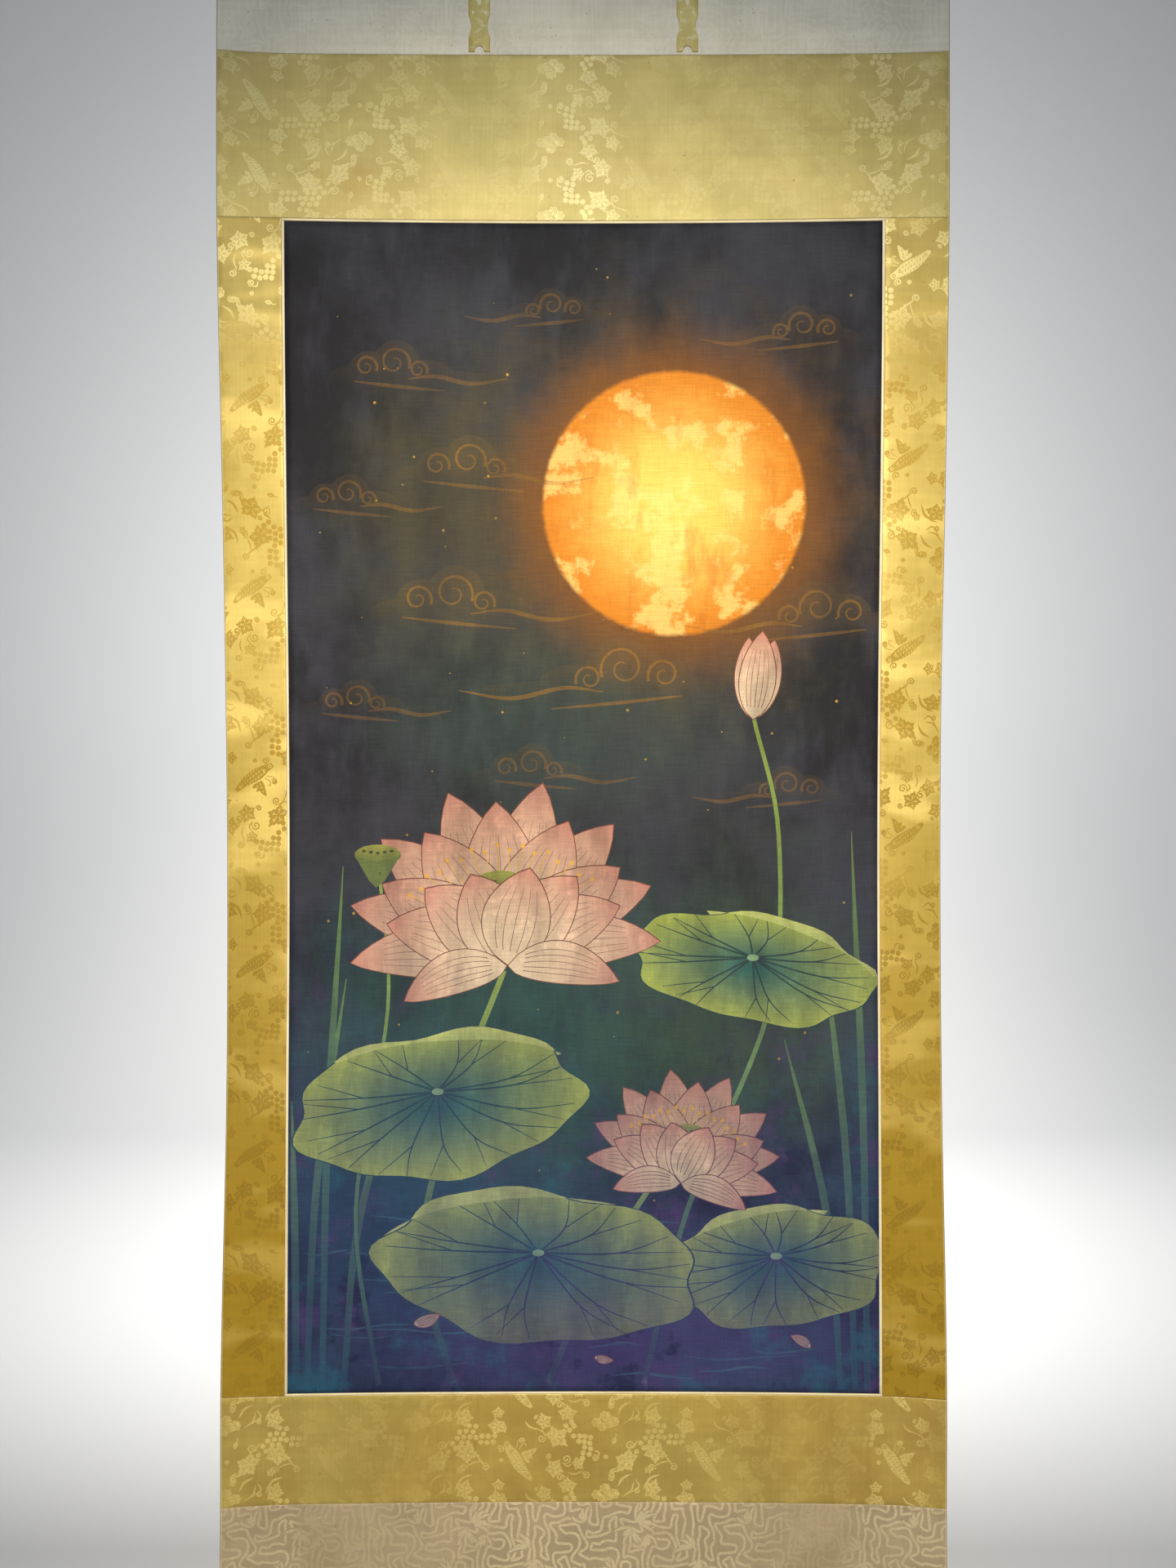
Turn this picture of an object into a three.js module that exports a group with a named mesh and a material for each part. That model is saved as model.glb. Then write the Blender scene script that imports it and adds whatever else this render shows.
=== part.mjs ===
// A hanging scroll painting with its silk mount, as it hangs open against a wall.
// Units are millimetres. +X runs across the scroll, +Z is up, and the painted front faces -Y.
// The origin is the middle of the straight top edge, half-way through the cloth.
import * as THREE from "three";

// Sizes of the cut pieces
const PAINTING = { width: 680, height: 1340 };
const FILLET_WIDTH = 2.5;
const BORDER_WIDTH = 72.5;
const UPPER_BAND_HEIGHT = 188;
const LOWER_BAND_HEIGHT = 125;
const HEAVEN_HEIGHT = 336;
const EARTH_HEIGHT = 224;
const CLOTH = 1.2;
const SEAM = 0.3;
const HEM = { height: 26, fold: 1.2 };
const RIBBON = {
  width: 24.5,
  fromMiddle: 118.5,
  cloth: 1,
  lift: 0.3,
  clearOfSeam: 3,
  waist: { aboveEnd: 29, halfHeight: 13, depth: 3.2 },
  notch: { width: 11, height: 7 },
};

// Places down the cloth, counted from the top edge
const heavenEnd = HEAVEN_HEIGHT;
const upperBandStart = heavenEnd + SEAM;
const upperBandEnd = upperBandStart + UPPER_BAND_HEIGHT;
const mountingStart = upperBandEnd + SEAM;
const paintingStart = mountingStart + FILLET_WIDTH + SEAM;
const paintingEnd = paintingStart + PAINTING.height;
const mountingEnd = paintingEnd + SEAM + FILLET_WIDTH;
const lowerBandStart = mountingEnd + SEAM;
const lowerBandEnd = lowerBandStart + LOWER_BAND_HEIGHT;
const earthStart = lowerBandEnd + SEAM;
const earthEnd = earthStart + EARTH_HEIGHT;

// Places across the cloth, counted from its middle
const paintingSide = PAINTING.width / 2;
const filletStart = paintingSide + SEAM;
const filletEnd = filletStart + FILLET_WIDTH;
const borderStart = filletEnd + SEAM;
const clothSide = borderStart + BORDER_WIDTH;

// How the cloth hangs, at some heights. belly is how far its middle lies back, bow how far
// the painting's sides come forward of that, and the lips how far each side edge curls on
// forward of the bow, or back where they are below zero.
const HANG = [
  { down: 0, belly: 0, bow: 0, leftLip: 0, rightLip: 0 },
  { down: 200, belly: 7, bow: 1, leftLip: 2, rightLip: 2 },
  { down: 340, belly: 10, bow: 3, leftLip: 6, rightLip: 3 },
  { down: 530, belly: 10.5, bow: 7, leftLip: 0, rightLip: -2.5 },
  { down: 820, belly: 16.5, bow: 5, leftLip: -8, rightLip: -5.5 },
  { down: 1060, belly: 24, bow: 3, leftLip: -9, rightLip: -9 },
  { down: 1270, belly: 25.5, bow: 1.5, leftLip: -10, rightLip: -8 },
  { down: 1560, belly: 18.5, bow: 2, leftLip: -11, rightLip: -7 },
  { down: 1870, belly: 15.5, bow: 5, leftLip: 2, rightLip: 6 },
  { down: 2000, belly: 16, bow: 5, leftLip: 5, rightLip: 6 },
  { down: earthEnd, belly: 9, bow: 4, leftLip: 6, rightLip: 5 },
];
const STRAIGHT_TOP = 34;
const EASE_OUT_OF_TOP = 160;
const CURL_START = 330;
const CURL_WIDTH = clothSide - CURL_START;
const hangCurve = new THREE.CubicInterpolant(
  HANG.map((row) => row.down),
  HANG.flatMap((row) => [row.belly, row.bow, row.leftLip, row.rightLip]),
  4,
);

// How the cloth lies at one height, eased in below the straight top
function hangAt(down) {
  const free = THREE.MathUtils.smoothstep(down, STRAIGHT_TOP, STRAIGHT_TOP + EASE_OUT_OF_TOP);
  const [belly, bow, leftLip, rightLip] = [...hangCurve.evaluate(down)].map((value) => free * value);
  return { belly, bow, leftLip, rightLip };
}

const lipAt = (across, hang) => (across < 0 ? hang.leftLip : hang.rightLip);
const curlAt = (across) => Math.max(0, (Math.abs(across) - CURL_START) / CURL_WIDTH);

// How far forward the cloth lies at one place on it, and how steeply that rises going across
function forward(across, hang) {
  const bow = hang.bow * (across / paintingSide) ** 2;
  return bow + lipAt(across, hang) * curlAt(across) ** 2 - hang.belly;
}
function slopeAcross(across, hang) {
  const bow = (2 * hang.bow * across) / paintingSide ** 2;
  const curl = (2 * lipAt(across, hang) * curlAt(across)) / CURL_WIDTH;
  return bow + Math.sign(across) * curl;
}

// The cloth keeps its width, so where it slopes its edge draws in towards the middle
const DRAW_IN_STEPS = 24;
function drawnIn(across, hang) {
  const step = across / DRAW_IN_STEPS;
  let x = 0;
  for (let i = 0; i < DRAW_IN_STEPS; i += 1) {
    x += step / Math.hypot(1, slopeAcross((i + 0.5) * step, hang));
  }
  return x;
}

// The point that lies a given depth behind the cloth's middle layer
const SLOPE_STEP = 0.5;
function place(across, down, depth) {
  const hang = hangAt(down);
  const above = Math.max(down - SLOPE_STEP, 0);
  const below = Math.min(down + SLOPE_STEP, earthEnd);
  const rise = forward(across, hangAt(below)) - forward(across, hangAt(above));
  const back = new THREE.Vector3(slopeAcross(across, hang), 1, -rise / (below - above)).normalize();
  const onCloth = new THREE.Vector3(drawnIn(across, hang), -forward(across, hang), -down);
  return onCloth.addScaledVector(back, depth);
}

// Evenly spaced places from one end to the other, no further apart than a given step
function spaced(from, to, most) {
  const count = Math.max(1, Math.ceil((to - from) / most - 1e-6));
  return Array.from({ length: count + 1 }, (_, i) => from + ((to - from) * i) / count);
}

const STEP_MIDDLE = 80;
const STEP_CURL = 15;
const STEP_DOWN = 56;
// Places across a piece, closer together where the side edges curl
function columns(left, right) {
  const stops = [left, -CURL_START, CURL_START, right].filter((x) => x >= left && x <= right);
  const edges = [...new Set(stops)].sort((a, b) => a - b);
  const found = edges.slice(1).flatMap((end, i) => {
    const curls = Math.abs(edges[i] + end) / 2 > CURL_START;
    return spaced(edges[i], end, curls ? STEP_CURL : STEP_MIDDLE).slice(0, -1);
  });
  return [...found, right];
}

// One closed sheet from a grid of cloth places. Each cell of the grid gives where a point lies
// across and down, and how deep its front and its back are.
function sheetFromGrid(grid) {
  const rows = grid.length;
  const cols = grid[0].length;
  const layers = ["front", "back"].map((side) =>
    grid.flat().map((cell) => place(cell.across, cell.down, cell[side])),
  );
  const points = layers.flat();
  const front = (r, c) => r * cols + c;
  const back = (r, c) => rows * cols + front(r, c);
  const faces = [];
  const quad = (a, b, c, d) => faces.push(a, b, c, a, c, d);
  for (let r = 0; r < rows - 1; r += 1) {
    for (let c = 0; c < cols - 1; c += 1) {
      quad(front(r, c), front(r + 1, c), front(r + 1, c + 1), front(r, c + 1));
      quad(back(r, c), back(r, c + 1), back(r + 1, c + 1), back(r + 1, c));
    }
    quad(front(r, 0), back(r, 0), back(r + 1, 0), front(r + 1, 0));
    quad(front(r, cols - 1), front(r + 1, cols - 1), back(r + 1, cols - 1), back(r, cols - 1));
  }
  for (let c = 0; c < cols - 1; c += 1) {
    quad(front(0, c), front(0, c + 1), back(0, c + 1), back(0, c));
    quad(front(rows - 1, c), back(rows - 1, c), back(rows - 1, c + 1), front(rows - 1, c + 1));
  }
  const geometry = new THREE.BufferGeometry().setFromPoints(points);
  geometry.setIndex(faces);
  geometry.computeVertexNormals();
  return geometry;
}

// A rectangle cut from cloth. A hem is a strip along its top or bottom that is folded to the
// back, where the sheet is thicker.
const HEM_SLOPE = 1;
function panel({ left, right, top, bottom, hem = null }) {
  const front = -CLOTH / 2;
  const back = CLOTH / 2;
  let rows = spaced(top, bottom, STEP_DOWN).map((down) => ({ down, back }));
  if (hem === "top") {
    const fold = top + HEM.height;
    rows = [
      { down: top, back: back + HEM.fold },
      { down: fold, back: back + HEM.fold },
      ...spaced(fold + HEM_SLOPE, bottom, STEP_DOWN).map((down) => ({ down, back })),
    ];
  }
  if (hem === "bottom") {
    const fold = bottom - HEM.height;
    rows = [
      ...spaced(top, fold - HEM_SLOPE, STEP_DOWN).map((down) => ({ down, back })),
      { down: fold, back: back + HEM.fold },
      { down: bottom, back: back + HEM.fold },
    ];
  }
  const places = columns(left, right);
  return sheetFromGrid(
    rows.map((row) => places.map((across) => ({ across, down: row.down, front, back: row.back }))),
  );
}

// A ribbon laid on the heaven panel. It narrows to a waist near its end, and its end is
// notched in an arch between two points.
const RIBBON_COLUMNS = 8;
const WAIST_ROWS = 6;
function ribbon(middle) {
  const { waist, notch } = RIBBON;
  const half = RIBBON.width / 2;
  const end = heavenEnd - RIBBON.clearOfSeam;
  const waistAt = end - waist.aboveEnd;
  const waistTop = waistAt - waist.halfHeight;
  const waistEnd = waistAt + waist.halfHeight;
  const front = -CLOTH / 2 - RIBBON.lift - RIBBON.cloth;
  const back = -CLOTH / 2 - RIBBON.lift;
  const halfWidth = (down) => {
    const near = Math.max(0, 1 - Math.abs(down - waistAt) / waist.halfHeight);
    return half - waist.depth * Math.sin((near * Math.PI) / 2);
  };
  const notchTop = (across) => {
    const share = Math.min(1, Math.abs(across) / (notch.width / 2));
    return end - notch.height * Math.sqrt(1 - share * share);
  };
  const plain = spaced(0, waistTop, STEP_DOWN).slice(0, -1);
  const waisted = spaced(waistTop, waistEnd, (2 * waist.halfHeight) / WAIST_ROWS);
  const rows = [...plain, ...waisted].map((down) =>
    spaced(-1, 1, 2 / RIBBON_COLUMNS).map((share) => ({
      across: middle + share * halfWidth(down),
      down,
      front,
      back,
    })),
  );
  const last = spaced(-1, 1, 2 / RIBBON_COLUMNS).map((share) => ({
    across: middle + share * half,
    down: notchTop(share * half),
    front,
    back,
  }));
  return sheetFromGrid([...rows, last]);
}

// Colours and surfaces of the cloths
const material = (color, roughness) => new THREE.MeshStandardMaterial({ color, roughness, metalness: 0 });
const goldDamask = material(0xc9ab5e, 0.5);
const greyDamask = material(0xb3ab99, 0.6);
const paintedSilk = material(0x2f2d45, 0.8);
const creamSilk = material(0xe9dcb8, 0.7);
const ribbonSilk = material(0xa39a58, 0.6);

// The pieces of the scroll, in the order in which they are joined, from the top
const wholeWidth = { left: -clothSide, right: clothSide };
const filletSpan = { left: -filletEnd, right: filletEnd };
const beside = { top: paintingStart, bottom: paintingEnd };
const mounting = { top: mountingStart, bottom: mountingEnd };
const PIECES = [
  {
    name: "heaven_panel",
    geometry: panel({ ...wholeWidth, top: 0, bottom: heavenEnd, hem: "top" }),
    cloth: greyDamask,
  },
  { name: "ribbon_left", geometry: ribbon(-RIBBON.fromMiddle), cloth: ribbonSilk },
  { name: "ribbon_right", geometry: ribbon(RIBBON.fromMiddle), cloth: ribbonSilk },
  {
    name: "upper_band",
    geometry: panel({ ...wholeWidth, top: upperBandStart, bottom: upperBandEnd }),
    cloth: goldDamask,
  },
  {
    name: "border_left",
    geometry: panel({ left: -clothSide, right: -borderStart, ...mounting }),
    cloth: goldDamask,
  },
  {
    name: "border_right",
    geometry: panel({ left: borderStart, right: clothSide, ...mounting }),
    cloth: goldDamask,
  },
  {
    name: "fillet_top",
    geometry: panel({ ...filletSpan, top: mountingStart, bottom: mountingStart + FILLET_WIDTH }),
    cloth: creamSilk,
  },
  {
    name: "fillet_left",
    geometry: panel({ left: -filletEnd, right: -filletStart, ...beside }),
    cloth: creamSilk,
  },
  {
    name: "painting",
    geometry: panel({ left: -paintingSide, right: paintingSide, ...beside }),
    cloth: paintedSilk,
  },
  {
    name: "fillet_right",
    geometry: panel({ left: filletStart, right: filletEnd, ...beside }),
    cloth: creamSilk,
  },
  {
    name: "fillet_bottom",
    geometry: panel({ ...filletSpan, top: mountingEnd - FILLET_WIDTH, bottom: mountingEnd }),
    cloth: creamSilk,
  },
  {
    name: "lower_band",
    geometry: panel({ ...wholeWidth, top: lowerBandStart, bottom: lowerBandEnd }),
    cloth: goldDamask,
  },
  {
    name: "earth_panel",
    geometry: panel({ ...wholeWidth, top: earthStart, bottom: earthEnd, hem: "bottom" }),
    cloth: greyDamask,
  },
];

const scroll = new THREE.Group();
for (const piece of PIECES) {
  const mesh = new THREE.Mesh(piece.geometry, piece.cloth);
  mesh.name = piece.name;
  scroll.add(mesh);
}

export default scroll;
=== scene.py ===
# A hanging scroll: a painting on silk in a mount of gold and grey damask, hanging open.
# Metres, +X across the scroll, +Z up, and the painted front faces -Y. The origin is the
# middle of the straight top edge.
import math
import random

import bmesh
import bpy
import numpy as np
from mathutils import Matrix, Vector, geometry


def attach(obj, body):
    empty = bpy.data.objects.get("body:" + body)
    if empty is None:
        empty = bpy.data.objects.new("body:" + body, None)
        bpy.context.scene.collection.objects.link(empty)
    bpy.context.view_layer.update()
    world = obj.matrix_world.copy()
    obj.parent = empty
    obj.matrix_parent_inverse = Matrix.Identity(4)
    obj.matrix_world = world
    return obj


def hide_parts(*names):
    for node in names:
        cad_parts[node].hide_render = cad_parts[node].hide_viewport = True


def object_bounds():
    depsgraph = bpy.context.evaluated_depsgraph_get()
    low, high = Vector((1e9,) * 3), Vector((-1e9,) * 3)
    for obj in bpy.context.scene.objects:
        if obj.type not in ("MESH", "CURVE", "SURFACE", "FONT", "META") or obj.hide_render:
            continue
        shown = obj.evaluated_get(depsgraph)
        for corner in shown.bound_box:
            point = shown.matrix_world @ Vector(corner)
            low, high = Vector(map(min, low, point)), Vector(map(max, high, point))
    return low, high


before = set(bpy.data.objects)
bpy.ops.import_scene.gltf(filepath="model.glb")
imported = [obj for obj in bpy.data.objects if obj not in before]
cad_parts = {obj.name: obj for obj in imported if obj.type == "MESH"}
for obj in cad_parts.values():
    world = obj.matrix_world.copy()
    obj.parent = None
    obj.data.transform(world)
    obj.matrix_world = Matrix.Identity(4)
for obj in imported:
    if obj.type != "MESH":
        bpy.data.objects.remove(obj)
cad_low, cad_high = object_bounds()
MM = 0.001


# The studio. A pale floor sweeps up behind the scroll, well clear of it, and the camera stands
# where the photograph was taken, a little above the scroll's middle and tipped slightly down.
CAMERA_PLACE = Vector((0.0053, -1.308, -1.160))
CAMERA_TIP = 0.0055
PICTURE_HEIGHT_PX = 1920
LENS_PX = 1410
SENSOR = 36

camera_data = bpy.data.cameras.new("camera")
camera_data.sensor_width = SENSOR
camera_data.lens = SENSOR * LENS_PX / PICTURE_HEIGHT_PX
camera = bpy.data.objects.new("camera", camera_data)
camera.location = CAMERA_PLACE
camera.rotation_euler = (math.pi / 2 - CAMERA_TIP, 0, 0)
bpy.context.collection.objects.link(camera)
bpy.context.scene.camera = camera
bpy.context.scene.view_settings.view_transform = "Standard"

FLOOR_DROP = 0.16
FLOOR_REACH = 4.2
SWEEP_START = 2.6
SWEEP_RADIUS = 1.6
SWEEP_STEPS = 24


def make_studio_floor():
    """A floor whose back edge sweeps up into a wall."""
    level = cad_low.z - FLOOR_DROP
    profile = [(-FLOOR_REACH, level), (SWEEP_START, level)]
    for step in range(1, SWEEP_STEPS + 1):
        turn = step / SWEEP_STEPS * math.pi / 2
        y = SWEEP_START + SWEEP_RADIUS * math.sin(turn)
        profile.append((y, level + SWEEP_RADIUS * (1 - math.cos(turn))))
    profile.append((SWEEP_START + SWEEP_RADIUS, FLOOR_REACH))
    points = [(side * 2 * FLOOR_REACH, y, z) for y, z in profile for side in (-1, 1)]
    faces = [(i, i + 1, i + 3, i + 2) for i in range(0, len(points) - 2, 2)]
    mesh = bpy.data.meshes.new("studio_floor")
    mesh.from_pydata(points, [], faces)
    mesh.shade_smooth()
    floor = bpy.data.objects.new("studio_floor", mesh)
    bpy.context.collection.objects.link(floor)
    paint = bpy.data.materials.new("studio_floor")
    paint.use_nodes = True
    shader = paint.node_tree.nodes["Principled BSDF"]
    shader.inputs["Base Color"].default_value = (0.62, 0.63, 0.65, 1)
    shader.inputs["Roughness"].default_value = 0.9
    mesh.materials.append(paint)


make_studio_floor()


def add_light(name, kind, place, aim, watts, color, **shape):
    """A light that points at a spot. Its shape is given by Blender's own names."""
    data = bpy.data.lights.new(name, kind)
    data.energy = watts
    data.color = color
    for key, value in shape.items():
        setattr(data, key, value)
    light = bpy.data.objects.new(name, data)
    light.location = place
    light.rotation_euler = (Vector(aim) - Vector(place)).to_track_quat("-Z", "Y").to_euler()
    bpy.context.collection.objects.link(light)
    return light


WARM = (1.0, 0.93, 0.78)
COOL = (0.68, 0.82, 1.0)
PALE = (1.0, 0.98, 0.94)
# The gallery's spot shines from high in front, and its pool of light fades evenly to its rim
add_light(
    "gallery_spot", "SPOT", (0.0, -2.2, -0.1), (0, 0, -1.36), 342, WARM,
    spot_size=math.radians(56), spot_blend=1.0, shadow_soft_size=0.12,
)
SOFT_LIGHTS = [
    # name, place, aim, size, watts, colour
    ("cool_top", (0.0, -1.3, 0.4), (0, 0, -0.12), 0.5, 4.2, COOL),
    ("back_light", (1.3, 2.3, 0.5), (0, 0, -1.1), 1.2, 26, PALE),
    ("backdrop_light", (0.0, 0.45, -0.4), (0, 4, -0.3), 0.6, 195, PALE),
]
for name, place, aim, size, watts, color in SOFT_LIGHTS:
    soft_light = add_light(name, "AREA", place, aim, watts, color, size=size)
    soft_light.visible_camera = False

world = bpy.data.worlds.new("studio")
bpy.context.scene.world = world
world.use_nodes = True
sky = world.node_tree.nodes["Background"]
sky.inputs["Color"].default_value = (0.92, 0.96, 1.0, 1)
sky.inputs["Strength"].default_value = 0.18


# The cut silk. Every piece is silk with paper pasted behind it, cut square on the table and
# joined edge to edge, and the whole scroll then hangs in one soft uneven curve. A place on it
# is given flat: how far across from the middle, and how far down from the top edge.
PAINTING_WIDTH = 680 * MM
PAINTING_HEIGHT = 1340 * MM
FILLET_WIDTH = 2.5 * MM
BORDER_WIDTH = 72.5 * MM
UPPER_BAND_HEIGHT = 188 * MM
LOWER_BAND_HEIGHT = 125 * MM
HEAVEN_HEIGHT = 336 * MM
EARTH_HEIGHT = 224 * MM
CLOTH = 1.2 * MM
SEAM = 0.3 * MM
HEM_HEIGHT = 26 * MM
HEM_FOLD = 1.2 * MM
HEM_EDGE = 0.2 * MM

upper_band_start = HEAVEN_HEIGHT + SEAM
mounting_start = upper_band_start + UPPER_BAND_HEIGHT + SEAM
painting_start = mounting_start + FILLET_WIDTH + SEAM
painting_end = painting_start + PAINTING_HEIGHT
mounting_end = painting_end + SEAM + FILLET_WIDTH
lower_band_start = mounting_end + SEAM
lower_band_end = lower_band_start + LOWER_BAND_HEIGHT
earth_start = lower_band_end + SEAM
earth_end = earth_start + EARTH_HEIGHT
painting_side = PAINTING_WIDTH / 2
fillet_start = painting_side + SEAM
fillet_end = fillet_start + FILLET_WIDTH
border_start = fillet_end + SEAM
cloth_side = border_start + BORDER_WIDTH

# How far back the cloth's middle lies, how far the painting's sides come forward of that, and
# how far each side edge curls on forward
HANG = MM * np.array([
    # down, belly, bow, left lip, right lip
    [0, 0, 0, 0, 0],
    [200, 7, 1, 2, 2],
    [340, 10, 3, 6, 3],
    [530, 10.5, 7, 0, -2.5],
    [820, 16.5, 5, -8, -5.5],
    [1060, 24, 3, -9, -9],
    [1270, 25.5, 1.5, -10, -8],
    [1560, 18.5, 2, -11, -7],
    [1870, 15.5, 5, 2, 6],
    [2000, 16, 5, 5, 6],
    [earth_end / MM, 9, 4, 6, 5],
])
STRAIGHT_TOP = 34 * MM
EASE_OUT_OF_TOP = 160 * MM
CURL_START = 330 * MM
curl_width = cloth_side - CURL_START
DRAW_IN_STEPS = 24
SLOPE_STEP = 0.5 * MM


def smooth_between(value, low, high):
    """0 below low, 1 above high, and an even ease between them."""
    share = np.clip((value - low) / (high - low), 0, 1)
    return share * share * (3 - 2 * share)


def hang_at(down):
    """Belly, bow and both lips at each place down the cloth, on a smooth curve through HANG."""
    knots, values = HANG[:, 0], HANG[:, 1:]
    secants = np.diff(values, axis=0) / np.diff(knots)[:, None]
    slopes = np.vstack([secants[:1], (secants[1:] + secants[:-1]) / 2, secants[-1:]])
    row = np.clip(np.searchsorted(knots, down) - 1, 0, len(knots) - 2)
    span = (knots[row + 1] - knots[row])[:, None]
    p = (down - knots[row])[:, None] / span
    rise = p * p * (3 - 2 * p)
    level = values[row] * (1 - rise) + values[row + 1] * rise
    lean = slopes[row] * (p - 1) ** 2 * p + slopes[row + 1] * (p - 1) * p * p
    free = smooth_between(down, STRAIGHT_TOP, STRAIGHT_TOP + EASE_OUT_OF_TOP)
    return ((level + span * lean) * free[:, None]).T


def forward(across, down):
    """How far forward the cloth lies."""
    belly, bow, left_lip, right_lip = hang_at(down)
    lip = np.where(across < 0, left_lip, right_lip)
    curl = np.maximum(0, (np.abs(across) - CURL_START) / curl_width)
    return bow * (across / painting_side) ** 2 + lip * curl**2 - belly


def slope_across(across, down):
    """How steeply the cloth comes forward, going to +X."""
    _, bow, left_lip, right_lip = hang_at(down)
    lip = np.where(across < 0, left_lip, right_lip)
    curl = np.maximum(0, (np.abs(across) - CURL_START) / curl_width)
    return 2 * bow * across / painting_side**2 + np.sign(across) * 2 * lip * curl / curl_width


def hung(across, down, depth):
    """Where flat places on the cloth lie once it hangs. depth is how far behind its middle layer."""
    step = across / DRAW_IN_STEPS
    x = np.zeros_like(across)
    for i in range(DRAW_IN_STEPS):
        x += step / np.hypot(1, slope_across((i + 0.5) * step, down))
    above = np.maximum(down - SLOPE_STEP, 0)
    below = np.minimum(down + SLOPE_STEP, earth_end)
    rise = (forward(across, below) - forward(across, above)) / (below - above)
    back = np.stack([slope_across(across, down), np.ones_like(across), -rise], axis=1)
    back /= np.linalg.norm(back, axis=1)[:, None]
    place = np.stack([x, -forward(across, down), -down], axis=1)
    return place + back * np.asarray(depth)[..., None]


def spaced(low, high, most):
    """Even places from low to high, no further apart than most."""
    return np.linspace(low, high, max(1, math.ceil((high - low) / most - 1e-6)) + 1)


def rectangle(left, right, top, bottom, step=None):
    """The corners of a rectangle in flat places, going round it, with points along its sides."""
    if step is None:
        return [(left, top), (left, bottom), (right, bottom), (right, top)]
    across = spaced(left, right, step)
    down = spaced(top, bottom, step)
    return (
        [(left, d) for d in down[:-1]]
        + [(a, bottom) for a in across[:-1]]
        + [(right, d) for d in down[:0:-1]]
        + [(a, top) for a in across[:0:-1]]
    )


NEARNESS = 1e-8
CUT_SNAP = 0.005 * MM
BACK_CLEARANCE = 0.01 * MM
BACK_STEP = 14 * MM
SOFT_EDGE = 0.6 * MM
EDGE_DROP = 0.4 * MM


def within(places, outline):
    """Which places lie inside a flat outline."""
    x, y = places.T
    found = np.zeros(len(places), bool)
    for (x0, y0), (x1, y1) in zip(outline, np.roll(outline, -1, axis=0)):
        if y0 != y1:
            found ^= ((y0 > y) != (y1 > y)) & (x < x0 + (x1 - x0) * (y - y0) / (y1 - y0))
    return found


def fill(outlines, extra=()):
    """Triangles that fill the first outline, and the number of the last one that each lies in.

    The last of the four results says which place each given point became.
    """
    points, sides = [], []
    for outline in outlines:
        start, count = len(points), len(outline)
        sides += [(start + i, start + (i + 1) % count) for i in range(count)]
        points.extend(outline)
    points.extend(extra)
    made = geometry.delaunay_2d_cdt([Vector(p) for p in points], sides, [], 0, NEARNESS, True)
    flat = np.array([tuple(p) for p in made[0]])
    faces = np.array([tuple(f) for f in made[2]])
    middles = flat[faces].mean(axis=1)
    owners = np.full(len(faces), -1)
    for number, outline in enumerate(outlines):
        outline = np.asarray(outline)
        boxed = (middles > outline.min(axis=0)) & (middles < outline.max(axis=0))
        near = np.flatnonzero(boxed.all(axis=1))
        owners[near[within(middles[near], outline)]] = number
    kept = within(middles, np.asarray(outlines[0]))
    became = np.empty(len(points), int)
    for place, merged in enumerate(made[3]):
        became[merged] = place
    return flat, faces[kept], owners[kept], became


def rim_of(faces):
    """The ring of places round the outside of a set of faces, turning as they do."""
    sides = {(a, b) for face in faces.tolist() for a, b in zip(face, face[1:] + face[:1])}
    after = {a: b for a, b in sides if (b, a) not in sides}
    ring = [min(after)]
    while after[ring[-1]] != ring[0]:
        ring.append(after[ring[-1]])
    return ring


def make_sheet(name, flat, faces, hem=None, front=-CLOTH / 2, back=CLOTH / 2):
    """Closes a flat cut piece into a sheet and hangs it. Its first faces are the front's.

    The front rounds off at its cut edges, and the back has wider triangles of its own. hem gives
    the two places down the cloth between which it is folded double.
    """
    ring = rim_of(faces)
    outline = flat[ring]
    low, high = outline.min(axis=0), outline.max(axis=0)
    for limit in (low, high):
        outline = np.where(np.abs(outline - limit) < 2 * CUT_SNAP, limit, outline)
    across = spaced(low[0], high[0], BACK_STEP)[1:-1]
    inside = [(a, d) for a in across for d in spaced(low[1], high[1], BACK_STEP)[1:-1]]
    for edge in hem or ():
        if low[1] < edge < high[1]:
            inside += [(a, edge + nudge) for a in across for nudge in (-HEM_EDGE, HEM_EDGE)]
    apart = np.linalg.norm(outline - np.roll(outline, 1, axis=0), axis=1) > BACK_CLEARANCE
    back_flat, back_faces, _, became = fill([[tuple(p) for p in outline[apart]]], inside)
    count = len(flat)
    behind = (count + became[:apart.sum()][np.cumsum(apart) - 1]).tolist()
    rim = [
        tuple(dict.fromkeys((ring[i], behind[i], behind[i - 1], ring[i - 1])))
        for i in range(len(ring))
    ]
    edge = np.minimum(flat - low, high - flat).min(axis=1)
    front_depth = front + EDGE_DROP * (1 - np.clip(edge / SOFT_EDGE, 0, 1))
    back_depth = np.full(len(back_flat), back)
    if hem:
        back_depth[(back_flat[:, 1] > hem[0]) & (back_flat[:, 1] < hem[1])] += HEM_FOLD
    places = np.vstack([
        hung(flat[:, 0], flat[:, 1], front_depth),
        hung(back_flat[:, 0], back_flat[:, 1], back_depth),
    ])
    every = faces[:, ::-1].tolist() + (back_faces + count).tolist() + rim
    mesh = bpy.data.meshes.new(name)
    mesh.from_pydata(places.tolist(), [], every)
    mesh.shade_smooth()
    cloth = mesh.uv_layers.new(name="cloth")
    corners = np.empty(len(mesh.loops), int)
    mesh.loops.foreach_get("vertex_index", corners)
    both = np.vstack([flat, back_flat]) * (1, -1)
    cloth.data.foreach_set("uv", both[corners].ravel())
    slots = np.ones(len(every), int)
    slots[:len(faces)] = 0
    mesh.polygons.foreach_set("material_index", slots)
    made = bpy.data.objects.new(name, mesh)
    bpy.context.collection.objects.link(made)
    return made


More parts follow.
